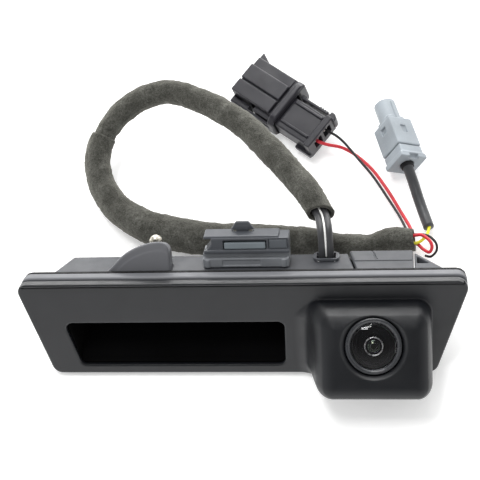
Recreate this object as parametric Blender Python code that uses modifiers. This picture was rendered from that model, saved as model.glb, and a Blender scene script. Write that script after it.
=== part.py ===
"""Tailgate handle trim with a built-in reversing camera, its release switch and its wiring harness.

Sizes are in millimetres and degrees, scaled to metres as meshes are made. The row frame is the bench
the handle lies on: +Z is the bench's normal, the origin is the centre of the sloped underside that it
rests on, +X runs along the handle towards the camera and +Y runs away from the face. The handle is
drawn upright in its own frame (face in the XZ plane, +Y into the vehicle) and leans back on its
underside, so its parts hang from one tilted empty. In that frame left is -X, front -Y, rear +Y.
"""

import math

import bmesh
import bpy
from mathutils import Matrix, Vector

MM = 0.001

# ---------------------------------------------------------------- driving dimensions
LEAN = 33.0  # slope of the underside, so also the lean of the face on a bench
FACE_HALF_TOP = 75.9  # half width of the face along its lip
FACE_LEFT_BOTTOM = 65.6
FACE_RIGHT_BOTTOM = 64.0
FACE_TOP = 17.5
FACE_BOTTOM = -17.6
CORNER_TOP = 3.6
CORNER_BOTTOM = 4.0
PANEL_T = 2.0  # front panel, from y 0
LIP_DEEP = 1.4  # bead along the top stands this far proud of the face
LIP_LOW = 16.4
FLANGE_FRONT = 3.5
FLANGE_BACK = 7.4
BODY_FRONT = 5.0
BODY_REAR = 22.3
BODY_TOP = 16.0
UNDER_Y = 2.2  # a point on the underside plane
UNDER_Z = -18.4
REST_Y = 12.85  # depth of the underside point that is the row origin
WALL = 1.5
GAP = 0.3

POCKET_LEFT_TOP = -59.5
POCKET_LEFT_BOTTOM = -56.0
POCKET_RIGHT = 14.6
POCKET_TOP = 1.9
POCKET_BOTTOM = -14.1

# Outside of the cup behind the pocket opening
CUP_WALL = 1.3
CUP_LEFT = POCKET_LEFT_TOP - CUP_WALL
CUP_RIGHT = POCKET_RIGHT + 1.2
CUP_FRONT = 2.3
CUP_REAR = 19.0
CUP_TOP = POCKET_TOP + CUP_WALL  # at the front
CUP_ROOF = 11.8  # at the rear
CUP_BOTTOM = -15.2
CUP_DRAW = 3.0  # the left end moves right by this from front to rear
CUP_ROOM = 0.4  # space left around the cup

PAD_PIVOT = (-19.0, 9.0, 8.8)
PAD_HALF = 27.0
PLUNGER = (1.0, 16.0)  # x, y of the switch plunger's axis
INSERT = (-28.4, 12.7)  # x, y of the threaded insert's axis
TAB_X = 0.5  # middle of the latch tab
CABLE_X = 28.1  # middle of the cable passage
CABLE_HALF_X = 3.2
GROMMET_Y = 18.7

LENS_AT = (44.0, -14.0, 1.0)
LENS_TILT = 31.0  # lens axis above the face's normal
SNOUT_LEFT = 25.0
SNOUT_RIGHT = 62.6
SNOUT_TOP = 10.3
SNOUT_WALL = 2.2  # at the two ends

COVER_LEFT = 34.6  # the camera's rear cover
COVER_RIGHT = 57.2
COVER_FRONT = 9.0
COVER_REAR = 23.4
COVER_LOW = -2.8
COVER_TOP = 16.6
COVER_WALL = 1.6
COVER_ROOM = 0.4  # space between the cover and its saddle

PLUG_AT = (12.3, 88.6, 8.6)
PLUG_TURN = 141.1
PLUG_ROLL = -12.0
COAX_AT = (54.9, 67.3, 8.1)
COAX_TURN = 106.5
COAX_ROLL = 35.0

# ---------------------------------------------------------------- looks: base RGB, roughness, metallic
BLACK = ((0.022, 0.023, 0.025), 0.5, 0.0)
BLACK_SOFT = ((0.012, 0.012, 0.013), 0.8, 0.0)
GREY_BLACK = ((0.035, 0.036, 0.040), 0.55, 0.0)
RUBBER = ((0.015, 0.015, 0.015), 0.9, 0.0)
STEEL = ((0.62, 0.62, 0.64), 0.3, 1.0)
BRASS = ((0.78, 0.62, 0.34), 0.3, 1.0)
TIN = ((0.70, 0.70, 0.69), 0.35, 1.0)
FELT = ((0.075, 0.073, 0.062), 0.98, 0.0)
BLUE_GREY = ((0.28, 0.33, 0.37), 0.5, 0.0)
VIOLET_BLACK = ((0.030, 0.028, 0.036), 0.45, 0.0)
GREEN_BOARD = ((0.02, 0.16, 0.07), 0.4, 0.0)
GLASS = ((0.02, 0.02, 0.03), 0.05, 0.0)
SILICON = ((0.05, 0.05, 0.09), 0.15, 0.4)
WHITE = ((0.82, 0.82, 0.80), 0.5, 0.0)
RED = ((0.70, 0.03, 0.04), 0.45, 0.0)
YELLOW = ((0.80, 0.72, 0.03), 0.45, 0.0)
NATURAL = ((0.85, 0.84, 0.80), 0.5, 0.0)

# ---------------------------------------------------------------- scene
for old in list(bpy.data.objects):
    bpy.data.objects.remove(old, do_unlink=True)
for old in list(bpy.data.collections):
    bpy.data.collections.remove(old)

PARTS = bpy.data.collections.new("backup_camera")
CUTTERS = bpy.data.collections.new("cutters")
for group in (PARTS, CUTTERS):
    bpy.context.scene.collection.children.link(group)


# ---------------------------------------------------------------- objects and modifiers
def set_pose(obj, at, turn, parent):
    obj.location = [c * MM for c in at]
    obj.rotation_euler = [math.radians(angle) for angle in turn]
    obj.parent = parent


def empty(name, at, turn=(0, 0, 0), parent=None):
    obj = bpy.data.objects.new(name, None)
    obj.empty_display_size = 0.01
    set_pose(obj, at, turn, parent)
    PARTS.objects.link(obj)
    return obj


def principled(name, rgb, rough, metal):
    mat = bpy.data.materials.new(name)
    mat.use_nodes = True
    shader = mat.node_tree.nodes["Principled BSDF"]
    shader.inputs["Base Color"].default_value = (*rgb, 1.0)
    shader.inputs["Roughness"].default_value = rough
    shader.inputs["Metallic"].default_value = metal
    mat.diffuse_color = (*rgb, 1.0)
    return mat


def place(name, mesh, parent, look, at=(0, 0, 0), turn=(0, 0, 0)):
    """An object of the mesh. Without a look it is a helper that only cuts or joins."""
    obj = bpy.data.objects.new(name, mesh)
    set_pose(obj, at, turn, parent)
    if look is None:
        CUTTERS.objects.link(obj)
        obj.hide_render = True
        obj.display_type = "WIRE"
    else:
        PARTS.objects.link(obj)
        mesh.materials.append(principled(name, *look))
        mesh.shade_smooth()
        mesh.set_sharp_from_angle(angle=math.radians(35))
    return obj


def bevel(obj, width, segments=2, angle=30):
    mod = obj.modifiers.new("round", "BEVEL")
    mod.width = width * MM
    mod.segments = segments
    mod.limit_method = "ANGLE"
    mod.angle_limit = math.radians(angle)


def boolean(obj, tool, operation):
    mod = obj.modifiers.new(operation.lower() + "_" + tool.name, "BOOLEAN")
    mod.operation = operation
    mod.solver = "EXACT"
    mod.object = tool


def cut(obj, *tools):
    for tool in tools:
        boolean(obj, tool, "DIFFERENCE")


def join(obj, *tools):
    for tool in tools:
        boolean(obj, tool, "UNION")


# ---------------------------------------------------------------- solids
def to_mesh(name, bm):
    mesh = bpy.data.meshes.new(name)
    bm.to_mesh(mesh)
    bm.free()
    return mesh


def box(name, low, high, parent, look=None):
    """A box between two corners."""
    bm = bmesh.new()
    bmesh.ops.create_cube(bm, size=1.0)
    size = [(end - start) * MM for start, end in zip(low, high)]
    middle = Vector([(end + start) / 2 * MM for start, end in zip(low, high)])
    bmesh.ops.scale(bm, vec=size, verts=bm.verts)
    bmesh.ops.translate(bm, vec=middle, verts=bm.verts)
    return place(name, to_mesh(name, bm), parent, look)


def bar(name, start, end, half_y, half_z, parent, look=None, y=0.0):
    """A box along X, centred on z 0 and the given y."""
    return box(name, (start, y - half_y, -half_z), (end, y + half_y, half_z), parent, look)


def cage(name, corner, parent):
    """A helper cube whose corners move to corner(x_sign, y_sign, z_sign)."""
    bm = bmesh.new()
    bmesh.ops.create_cube(bm, size=2.0)
    for vert in bm.verts:
        signs = [1 if c > 0 else -1 for c in vert.co]
        vert.co = Vector(corner(*signs)) * MM
    return place(name, to_mesh(name, bm), parent, None)


def rod(name, radius, start, end, parent, look=None, sides=20, end_radius=None):
    """A cylinder from start to end, or a cone if it has an end radius."""
    if end_radius is None:
        end_radius = radius
    start, end = Vector(start), Vector(end)
    bm = bmesh.new()
    bmesh.ops.create_cone(
        bm,
        cap_ends=True,
        cap_tris=False,
        segments=sides,
        radius1=radius * MM,
        radius2=end_radius * MM,
        depth=(end - start).length * MM,
    )
    aim = Vector((0, 0, 1)).rotation_difference((end - start).normalized()).to_matrix().to_4x4()
    move = Matrix.Translation((start + end) / 2 * MM)
    bmesh.ops.transform(bm, matrix=move @ aim, verts=bm.verts)
    return place(name, to_mesh(name, bm), parent, look)


def turned(name, profile, steps, parent, look, at=(0, 0, 0), turn=(0, 0, 0)):
    """A profile of (radius, z) spun about Z. It closes into a ring unless both ends are on Z."""
    bm = bmesh.new()
    verts = [bm.verts.new((radius * MM, 0, z * MM)) for radius, z in profile]
    for pair in zip(verts, verts[1:]):
        bm.edges.new(pair)
    if profile[0][0] != 0 or profile[-1][0] != 0:
        bm.edges.new((verts[-1], verts[0]))
    obj = place(name, to_mesh(name, bm), parent, look, at, turn)
    mod = obj.modifiers.new("spin", "SCREW")
    mod.axis = "Z"
    mod.steps = mod.render_steps = steps
    mod.use_merge_vertices = True
    mod.merge_threshold = 1e-5
    return obj


# ---------------------------------------------------------------- curves and what is made from them
def fillet(points, radii, steps=4):
    """A closed outline with each corner rounded by an arc."""
    out = []
    for i, (point, radius) in enumerate(zip(points, radii)):
        corner = Vector(point)
        if radius <= 0:
            out.append(tuple(corner))
            continue
        to_last = (Vector(points[i - 1]) - corner).normalized()
        to_next = (Vector(points[(i + 1) % len(points)]) - corner).normalized()
        half = to_last.angle(to_next) / 2
        reach = radius / math.tan(half)
        centre = corner + (to_last + to_next).normalized() * (radius / math.sin(half))
        first = corner + to_last * reach - centre
        last = corner + to_next * reach - centre
        sweep = first.angle_signed(last)
        for k in range(steps + 1):
            spin = Matrix.Rotation(-sweep * k / steps, 2)
            out.append(tuple(centre + spin @ first))
    return out


def add_poly(data, points):
    spline = data.splines.new("POLY")
    spline.points.add(len(points) - 1)
    for point, place_mm in zip(spline.points, points):
        point.co = (*[c * MM for c in place_mm], 1)
    return spline


def curve_to_mesh(name, data):
    """A mesh of a curve, with its caps welded."""
    curve = bpy.data.objects.new(name + "_curve", data)
    PARTS.objects.link(curve)
    bpy.context.view_layer.update()
    graph = bpy.context.evaluated_depsgraph_get()
    mesh = bpy.data.meshes.new_from_object(curve.evaluated_get(graph))
    mesh.name = name
    mesh.materials.clear()
    bm = bmesh.new()
    bm.from_mesh(mesh)
    bmesh.ops.remove_doubles(bm, verts=bm.verts, dist=1e-6)
    bmesh.ops.recalc_face_normals(bm, faces=bm.faces)
    bm.to_mesh(mesh)
    bm.free()
    bpy.data.objects.remove(curve, do_unlink=True)
    return mesh


# Outline plane: index of the axis it is thickened along, and the turn that stands it up
PLANES = {"XZ": (1, (90, 0, 0)), "YZ": (0, (90, 0, 90)), "XY": (2, (0, 0, 0))}


def sheet(name, outline, low, high, parent, look=None, plane="XZ"):
    """A flat outline given thickness from low to high across its plane."""
    data = bpy.data.curves.new(name + "_outline", "CURVE")
    data.dimensions = "2D"
    data.fill_mode = "BOTH"
    data.extrude = (high - low) / 2 * MM
    add_poly(data, [(*point, 0) for point in outline]).use_cyclic_u = True
    axis, turn = PLANES[plane]
    at = [0, 0, 0]
    at[axis] = (low + high) / 2
    return place(name, curve_to_mesh(name, data), parent, look, at, turn)


def smooth_path(points, per):
    """Points along a Catmull-Rom curve through the given ones, per of them to a span."""
    pts = [Vector(point) for point in points]
    ends = [2 * pts[0] - pts[1]] + pts + [2 * pts[-1] - pts[-2]]
    out = []
    for before, start, end, after in zip(ends, ends[1:], ends[2:], ends[3:]):
        linear = end - before
        square = 2 * before - 5 * start + 4 * end - after
        cube = 3 * start - before - 3 * end + after
        for k in range(per):
            t = k / per
            out.append(0.5 * (2 * start + linear * t + square * t**2 + cube * t**3))
    out.append(pts[-1])
    return out


def tube(name, points, radius, per, resolution):
    """Curve data with a round section through the points, and its spline."""
    data = bpy.data.curves.new(name, "CURVE")
    data.dimensions = "3D"
    data.bevel_depth = radius * MM
    data.bevel_resolution = resolution
    return data, add_poly(data, smooth_path(points, per))


def wire(name, points, radius, look, per=3, resolution=1):
    """A capped round wire, left as a curve in the row frame."""
    data, _ = tube(name, points, radius, per, resolution)
    data.use_fill_caps = True
    data.materials.append(principled(name, *look))
    PARTS.objects.link(bpy.data.objects.new(name, data))


def sleeve(name, stations, wall):
    """An open felt tube through stations of (x, y, z, radius)."""
    base = 4.0
    data, spline = tube(name, [station[:3] for station in stations], base, 3, 3)
    for i, point in enumerate(spline.points):
        along = i / (len(spline.points) - 1) * (len(stations) - 1)
        k = min(int(along), len(stations) - 2)
        start, end = stations[k][3], stations[k + 1][3]
        point.radius = (start + (end - start) * (along - k)) / base
    obj = place(name, curve_to_mesh(name, data), None, FELT)
    mod = obj.modifiers.new("felt", "SOLIDIFY")
    mod.thickness = wall * MM
    mod.offset = -1.0
    mod.use_even_offset = True


# ---------------------------------------------------------------- frames
lean = math.radians(LEAN)


def under(y):
    """Height of the underside plane at depth y."""
    return UNDER_Z + math.tan(lean) * (y - UNDER_Y)


# The handle's underside point (0, REST_Y, under(REST_Y)) is the row origin.
rest_z = under(REST_Y)
handle_y = -REST_Y * math.cos(lean) - rest_z * math.sin(lean)
handle_z = REST_Y * math.sin(lean) - rest_z * math.cos(lean)
handle = empty("handle_frame", (0, handle_y, handle_z), (-LEAN, 0, 0))
# +Z looks out along the lens axis, +Y is up across the snout's face.
lens = empty("lens_frame", LENS_AT, (90 - LENS_TILT, 0, 0), handle)
# +X of the connector frames runs along the connector.
plug = empty("plug_frame", PLUG_AT, (PLUG_ROLL, 0, PLUG_TURN))
coax = empty("coax_frame", COAX_AT, (0, 0, COAX_TURN))
coax_roll = empty("coax_roll_frame", (0, 0, 0), (COAX_ROLL, 0, 0), coax)


# ---------------------------------------------------------------- shared handle shapes
def face_outline(inset=0.0):
    """The face's (x, z) outline, drawn in by inset."""
    top, low = FACE_TOP - inset, FACE_BOTTOM + inset
    ends = []
    for bottom in (FACE_LEFT_BOTTOM, FACE_RIGHT_BOTTOM):
        run = (FACE_HALF_TOP - bottom) / (FACE_TOP - FACE_BOTTOM)
        side = inset * math.sqrt(1 + run * run)
        ends.append((FACE_HALF_TOP - run * inset - side, bottom + run * inset - side))
    (wide_left, narrow_left), (wide_right, narrow_right) = ends
    corners = (CORNER_TOP, CORNER_TOP, CORNER_BOTTOM, CORNER_BOTTOM)
    radii = [max(radius - inset, 0.6) for radius in corners]
    points = [(-wide_left, top), (wide_right, top), (narrow_right, low), (-narrow_left, low)]
    return fillet(points, radii)


def body_cage(name, grow=0.0, front=BODY_FRONT, rear=BODY_REAR):
    """The body behind the flange, grown all round. Its sides draw in to the rear and downwards."""

    def corner(x_sign, y_sign, z_sign):
        y = front if y_sign < 0 else rear
        share = (y - FLANGE_BACK) / (BODY_REAR - FLANGE_BACK)
        z = (BODY_TOP + grow) if z_sign > 0 else under(y) - grow / math.cos(lean)
        if x_sign < 0:
            x = -66.0 + 6.0 * share - grow + 0.134 * (BODY_TOP - z)
        else:
            x = 70.0 - 12.0 * share + grow - 0.254 * (BODY_TOP - z)
        return (x, y, z)

    return cage(name, corner, handle)


def below_underside(name, rise=0.0):
    """A slab whose top is the underside plane, raised by rise."""

    def corner(x_sign, y_sign, z_sign):
        y = -30 if y_sign < 0 else 60
        return (90 * x_sign, y, under(y) + rise - (0 if z_sign > 0 else 40))

    return cage(name, corner, handle)


def left_of_cup(name, offset):
    """Everything to the left of the pocket cup's slanted end wall, moved right by offset."""

    def corner(x_sign, y_sign, z_sign):
        y, z = 20 + 30 * y_sign, 40 * z_sign
        inward = CUP_DRAW * (y - CUP_FRONT) / (CUP_REAR - CUP_FRONT)
        slant = (POCKET_LEFT_BOTTOM - POCKET_LEFT_TOP) * (CUP_TOP - z) / (CUP_TOP - CUP_BOTTOM)
        return (-120 if x_sign < 0 else CUP_LEFT + inward + slant + offset, y, z)

    return cage(name, corner, handle)


# ---------------------------------------------------------------- front bezel, lip along its top
pocket_hole = [
    (POCKET_LEFT_TOP, POCKET_TOP),
    (POCKET_RIGHT, POCKET_TOP),
    (POCKET_RIGHT, POCKET_BOTTOM),
    (POCKET_LEFT_BOTTOM, POCKET_BOTTOM),
]
front_bezel = sheet("front_bezel", face_outline(), 0.0, PANEL_T, handle, BLACK)
lip = sheet("lip_bar", face_outline(), -LIP_DEEP, 1.1, handle)
cut(lip, box("lip_inside", (-90, -LIP_DEEP - 1, -60), (90, 0.0, LIP_LOW), handle))
bevel(front_bezel, 0.5)
join(front_bezel, lip)
cut(
    front_bezel,
    sheet("pocket_opening", fillet(pocket_hole, [1.6] * 4, 3), -5, 5, handle),
    box(
        "snout_opening",
        (SNOUT_LEFT - GAP, -5, -30),
        (SNOUT_RIGHT + GAP, 5, SNOUT_TOP + GAP),
        handle,
    ),
)

# Seal between bezel and rear frame, open under the snout
seal_low, seal_high = PANEL_T + GAP, FLANGE_FRONT - GAP
bezel_seal = sheet("bezel_seal", face_outline(1.3), seal_low, seal_high, handle, RUBBER)
cut(
    bezel_seal,
    sheet("seal_inside", face_outline(2.0), 0, 6, handle),
    box("seal_under_snout", (SNOUT_LEFT - 2, 0, -30), (SNOUT_RIGHT + 2, 6, -8), handle),
)

# ---------------------------------------------------------------- rear frame: flange and hollow body
TOWER = [(-45.6, 15.2), (-35.2, 25.0), (-24.2, 25.0), (-23.7, 15.2)]  # x, z
RIB_REAR = BODY_REAR - 0.5
ROOM_LEFT, ROOM_RIGHT = CUP_LEFT - GAP, CUP_RIGHT + GAP

rear_frame = sheet("rear_frame", face_outline(), FLANGE_FRONT, FLANGE_BACK, handle, GREY_BLACK)
pocket_passage = box(
    "pocket_passage", (ROOM_LEFT, 0, -15.75), (ROOM_RIGHT, 6.2, CUP_TOP + CUP_ROOM), handle
)
pocket_room = box(
    "pocket_room",
    (ROOM_LEFT, 5.5, -6.0),
    (ROOM_RIGHT, CUP_REAR + CUP_ROOM, CUP_ROOF + CUP_ROOM),
    handle,
)
beside_room = left_of_cup("beside_room", -0.35)
cut(pocket_passage, beside_room)
cut(pocket_room, beside_room)
join(rear_frame, body_cage("body_block"))
cut(rear_frame, body_cage("body_cavity", -WALL, FLANGE_FRONT + 2.0, BODY_REAR + 6))
join(
    rear_frame,
    sheet("insert_tower", fillet(TOWER, [0, 5.0, 3.0, 0]), 9.8, 15.6, handle),
    box("rib_a", (-30.7, 19.6, -20), (-29.3, RIB_REAR, 15.2), handle),
    box("rib_b", (20.3, 5.2, -20), (21.7, RIB_REAR, 15.2), handle),
    box("rib_c", (-62.8, 5.2, -1.0), (-61.2, 11.5, 15.2), handle),
)
cut(
    rear_frame,
    below_underside("below_underside"),
    pocket_passage,
    pocket_room,
    box("snout_passage", (29.5, 0, -12.5), (58.5, 6.2, 8.6), handle),
    box(
        "rear_cover_saddle",
        (COVER_LEFT - COVER_ROOM, COVER_FRONT - COVER_ROOM, COVER_LOW - COVER_ROOM),
        (COVER_RIGHT + COVER_ROOM, 40, 30),
        handle,
    ),
    rod("plunger_hole", 2.0, (*PLUNGER, 13), (*PLUNGER, 18), handle),
    rod("insert_hole", 2.4, (*INSERT, 17.0), (*INSERT, 40), handle),
    box(
        "cable_passage",
        (CABLE_X - CABLE_HALF_X, 16.6, 12),
        (CABLE_X + CABLE_HALF_X, 20.75, 18),
        handle,
    ),
)

# Gasket behind the flange, around the body
gasket_low, gasket_high = FLANGE_BACK + GAP, FLANGE_BACK + 1.3
flange_gasket = sheet(
    "flange_gasket", face_outline(0.3), gasket_low, gasket_high, handle, RUBBER
)
cut(
    flange_gasket,
    body_cage("gasket_inside", 0.35, 3.0, 12.0),
    below_underside("gasket_below", 2.0),
)

# Insert in the tower, bored from below
INSERT_PROFILE = [
    (0, 28.5), (0.9, 28.35), (1.65, 27.8), (2.05, 27.1), (2.05, 18.6),
    (1.6, 18.0), (1.3, 18.0), (1.3, 25.6), (0, 26.4),
]
turned("threaded_insert", INSERT_PROFILE, 20, handle, BRASS, at=(*INSERT, 0))

# ---------------------------------------------------------------- finger pocket cup
# Sections in y, z
CUP_OUTSIDE = [
    (CUP_FRONT, CUP_TOP), (5.8, CUP_TOP), (5.8, CUP_ROOF),
    (CUP_REAR, CUP_ROOF), (CUP_REAR, -4.3), (CUP_FRONT, CUP_BOTTOM),
]
CUP_INSIDE = [
    (0, POCKET_TOP), (6.9, POCKET_TOP), (6.9, 10.7), (17.9, 10.7),
    (17.9, -3.9), (2.2, POCKET_BOTTOM), (0, POCKET_BOTTOM),
]
finger_pocket = sheet(
    "finger_pocket", CUP_OUTSIDE, CUP_LEFT, CUP_RIGHT, handle, BLACK_SOFT, "YZ"
)
cup_hollow = sheet(
    "cup_inside", CUP_INSIDE, POCKET_LEFT_TOP - 0.1, POCKET_RIGHT + 0.1, handle, plane="YZ"
)
cut(cup_hollow, left_of_cup("beside_hollow", 1.2))
cut(
    finger_pocket,
    left_of_cup("beside_cup", 0.0),
    cup_hollow,
    box("post_window", (PLUNGER[0] - 3.4, 13.2, 9), (PLUNGER[0] + 3.4, 17.6, 13), handle),
)

# ---------------------------------------------------------------- release pad, hinged on a pin along X
pad_axis = empty("release_pad_axis", PAD_PIVOT, parent=handle)
post_x = PLUNGER[0] - PAD_PIVOT[0]  # the post stands under the plunger
barrel_half = PAD_HALF - 0.1
release_pad = box(
    "release_pad", (-PAD_HALF, 0, -1.6), (PAD_HALF, 8.4, 0.0), pad_axis, BLACK_SOFT
)
bevel(release_pad, 0.4, 1)
join(
    release_pad,
    rod("pad_barrel", 1.6, (-barrel_half, 0, 0), (barrel_half, 0, 0), pad_axis, sides=16),
    box("pad_post", (post_x - 1.4, 5.6, -0.5), (post_x + 1.4, 8.2, 4.6), pad_axis),
)
cut(release_pad, rod("pad_bore", 1.05, (-30, 0, 0), (30, 0, 0), pad_axis, sides=16))
pin_start = (POCKET_LEFT_TOP + GAP, *PAD_PIVOT[1:])
pin_end = (POCKET_RIGHT - GAP, *PAD_PIVOT[1:])
rod("pad_pivot_pin", 0.8, pin_start, pin_end, handle, STEEL, sides=12)

# ---------------------------------------------------------------- switch module on top of the body
switch_housing = box("switch_housing", (-13, 12, 16.3), (16, 19.9, 21.1), handle, GREY_BLACK)
bevel(switch_housing, 0.5, 1)
cut(
    switch_housing,
    box("switch_well", (-11.3, 14.6, 17.8), (13.5, 18.6, 25), handle),
    rod("switch_guide", 1.7, (*PLUNGER, 14), (*PLUNGER, 20), handle),
    rod("boot_seat", 3.3, (*PLUNGER, 15), (*PLUNGER, 17.2), handle),
    box("undercut", (-16, 11, 19.7), (18, 13.5, 22), handle),
)

# Cover over the housing
SWITCH_COVER = [(-12.5, 21.4), (16.2, 21.4), (16.2, 27.0), (-9.8, 27.0), (-9.8, 24.8)]  # x, z
switch_cover = sheet("switch_cover", SWITCH_COVER, 12.2, 18.9, handle, GREY_BLACK)
bevel(switch_cover, 0.4, 1)
join(switch_cover, box("cover_plate", (-12.3, 12.9, 26.5), (12.9, 18.7, 27.6), handle))
cut(
    switch_cover,
    box("cover_window", (-5.8, 11, 22.8), (8.7, 13.6, 26.1), handle),
    box("cover_room", (-8.8, 14.8, 20), (13, 17.8, 24.4), handle),
    box("tab_slot", (TAB_X - 3.1, 16.8, 26.3), (TAB_X + 3.1, 20, 31), handle),
)

# Boot and plunger on one vertical axis
BOOT_PROFILE = [(3.0, 17.0), (3.0, 16.3), (1.65, 16.3), (1.65, 17.0)]
PLUNGER_PROFILE = [(0, 19.2), (1.0, 19.2), (1.35, 18.9), (1.35, 14.3), (0.8, 13.8), (0, 13.7)]
turned("switch_boot", BOOT_PROFILE, 20, handle, RUBBER, at=(*PLUNGER, 0))
turned("switch_plunger", PLUNGER_PROFILE, 18, handle, NATURAL, at=(*PLUNGER, 0))

# Contact spring and terminals
box("contact_spring", (-6, 15.0, 20.1), (6, 17.0, 20.35), handle, STEEL)
for side, x in (("a", -8.0), ("b", 10.4)):
    box("switch_terminal_" + side, (x, 15.7, 18.1), (x + 0.8, 16.5, 23.4), handle, TIN)

# Latch tab in the cover's slot
tab_axis = empty("latch_tab_axis", (TAB_X, 17.7, 27.0), parent=handle)
latch_tab = box("switch_latch_tab", (-2.1, -0.6, -0.3), (2.1, 0.6, 3.8), tab_axis, GREY_BLACK)
bevel(latch_tab, 0.3, 1)

# ---------------------------------------------------------------- camera snout
# Sections in y, z
SNOUT_OUTSIDE = [(8, SNOUT_TOP), (-8.4, SNOUT_TOP), (-23.75, -15.2), (0, -17.65), (8, -17.65)]
SNOUT_INSIDE = [(9, 8.4), (-7.3, 8.4), (-20.5, -13.6), (0, -16.1), (9, -16.1)]
snout = sheet(
    "camera_front_housing", SNOUT_OUTSIDE, SNOUT_LEFT, SNOUT_RIGHT, handle, BLACK, "YZ"
)
bevel(snout, 3.2, 3, 25)
cut(
    snout,
    sheet(
        "snout_inside",
        SNOUT_INSIDE,
        SNOUT_LEFT + SNOUT_WALL,
        SNOUT_RIGHT - SNOUT_WALL,
        handle,
        plane="YZ",
    ),
    rod("lens_bore", 9.4, (0, 0, -6), (0, 0, 6), lens, sides=32),
    rod("lens_dish", 9.5, (0, 0, -1.3), (0, 0, 1.5), lens, sides=32, end_radius=12.2),
    box("snout_back", (0, 3.2, -40), (90, 40, 40), handle),
)

# ---------------------------------------------------------------- round parts on the lens axis
# name: look, steps, profile of (radius, z)
LENS_PARTS = {
    "lens_bezel_ring": (BLACK, 32, [
        (8.6, -0.6), (9.1, -1.0), (9.1, -3.6), (7.45, -3.6), (7.45, -1.0), (7.8, -0.6),
    ]),
    "front_glass": (GLASS, 24, [
        (0, -0.9), (2.4, -1.0), (4.6, -1.25), (6.2, -1.55), (7.15, -1.76),
        (7.15, -2.6), (5.9, -2.6), (4.3, -2.2), (2.3, -2.0), (0, -1.9),
    ]),
    "inner_lens": (GLASS, 20, [
        (0, -2.2), (1.0, -2.35), (1.9, -2.8), (2.3, -3.3), (2.3, -4.2), (0, -4.2),
    ]),
    "lens_retaining_ring": (TIN, 24, [
        (2.85, -3.1), (3.05, -3.3), (3.05, -3.9), (2.6, -3.9), (2.6, -3.3), (2.7, -3.1),
    ]),
    "lens_barrel": (BLACK_SOFT, 24, [
        (6.4, -3.3), (6.6, -3.5), (6.6, -11.0), (2.0, -11.0),
        (2.0, -4.6), (3.4, -4.3), (3.4, -3.8), (5.0, -3.3),
    ]),
}
for name, (look, steps, profile) in LENS_PARTS.items():
    turned(name, profile, steps, lens, look)

# O-ring with a six-sided section
RING_RADIUS, RING_Z, RING_SECTION = 7.6, -4.7, 0.55
ring_angles = [math.radians(-60 * k) for k in range(6)]
ring_profile = [
    (RING_RADIUS + RING_SECTION * math.cos(angle), RING_Z + RING_SECTION * math.sin(angle))
    for angle in ring_angles
]
turned("lens_o_ring", ring_profile, 20, lens, RUBBER)

# ---------------------------------------------------------------- lens holder, sensor and screws
HOLDER_HALF = 9.5
SCREW_OUT = 7.6  # screws sit this far out in x and y, on one diagonal


def lens_plate(name, back, front, look):
    """A square plate across the lens axis."""
    low, high = (-HOLDER_HALF, -HOLDER_HALF, back), (HOLDER_HALF, HOLDER_HALF, front)
    return box(name, low, high, lens, look)


lens_holder = lens_plate("lens_holder", -12.5, -5.5, GREY_BLACK)
sensor_board = lens_plate("sensor_board", -13.8, -12.8, GREEN_BOARD)
screw_holes = [
    rod("screw_hole_%d" % k, 0.95, (x, -x, -20), (x, -x, -8.6), lens, sides=14)
    for k, x in enumerate((-SCREW_OUT, SCREW_OUT))
]
cut(lens_holder, rod("barrel_bore", 6.9, (0, 0, -20), (0, 0, 0), lens, sides=28), *screw_holes)
cut(sensor_board, *screw_holes)
box("image_sensor", (-3.2, -2.6, -12.5), (3.2, 2.6, -11.6), lens, SILICON)

# Pan-head screws along +Z of the flipped frame, head last
SCREW_TIP = 9.2
SCREW_SEAT = SCREW_TIP + 4.9  # underside of the head
SCREW_R = 0.75
HEAD_R = 1.4
HEAD_H = 0.9
SCREW_PROFILE = [
    (0, SCREW_SEAT + HEAD_H),
    (HEAD_R * 0.75, SCREW_SEAT + HEAD_H),
    (HEAD_R, SCREW_SEAT + HEAD_H * 0.55),
    (HEAD_R, SCREW_SEAT),
    (SCREW_R, SCREW_SEAT),
    (SCREW_R, SCREW_TIP + 0.6),
    (SCREW_R * 0.5, SCREW_TIP),
    (0, SCREW_TIP),
]
flipped = empty("screw_frame", (0, 0, 0), (180, 0, 0), lens)
for k, x in enumerate((-SCREW_OUT, SCREW_OUT), start=1):
    turned("camera_screw_%d" % k, SCREW_PROFILE, 14, flipped, STEEL, at=(x, x, 0))

# ---------------------------------------------------------------- camera rear cover, open to the front
rear_cover = box(
    "camera_rear_cover",
    (COVER_LEFT, COVER_FRONT, COVER_LOW),
    (COVER_RIGHT, COVER_REAR, COVER_TOP),
    handle,
    GREY_BLACK,
)
bevel(rear_cover, 1.0)
cut(
    rear_cover,
    box(
        "rear_cover_room",
        (COVER_LEFT + COVER_WALL, 0, COVER_LOW + COVER_WALL),
        (COVER_RIGHT - COVER_WALL, COVER_REAR - COVER_WALL, COVER_TOP - COVER_WALL),
        handle,
    ),
    box("rear_cover_slot", (30, 14.6, 8.0), (40, 18.0, 11.4), handle),
)

# Grommet on top of the body, around the cable passage
grommet_outline = fillet([(-4.4, -2.9), (4.4, -2.9), (4.4, 2.9), (-4.4, 2.9)], [2.0] * 4, 3)
grommet = sheet("cable_grommet", grommet_outline, 16.3, 17.1, handle, RUBBER, "XY")
grommet.location.x = CABLE_X * MM
grommet.location.y = GROMMET_Y * MM
cut(
    grommet,
    box(
        "grommet_hole",
        (CABLE_X - CABLE_HALF_X, GROMMET_Y - 2.0, 14),
        (CABLE_X + CABLE_HALF_X, GROMMET_Y + 2.0, 20),
        handle,
    ),
)

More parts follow.
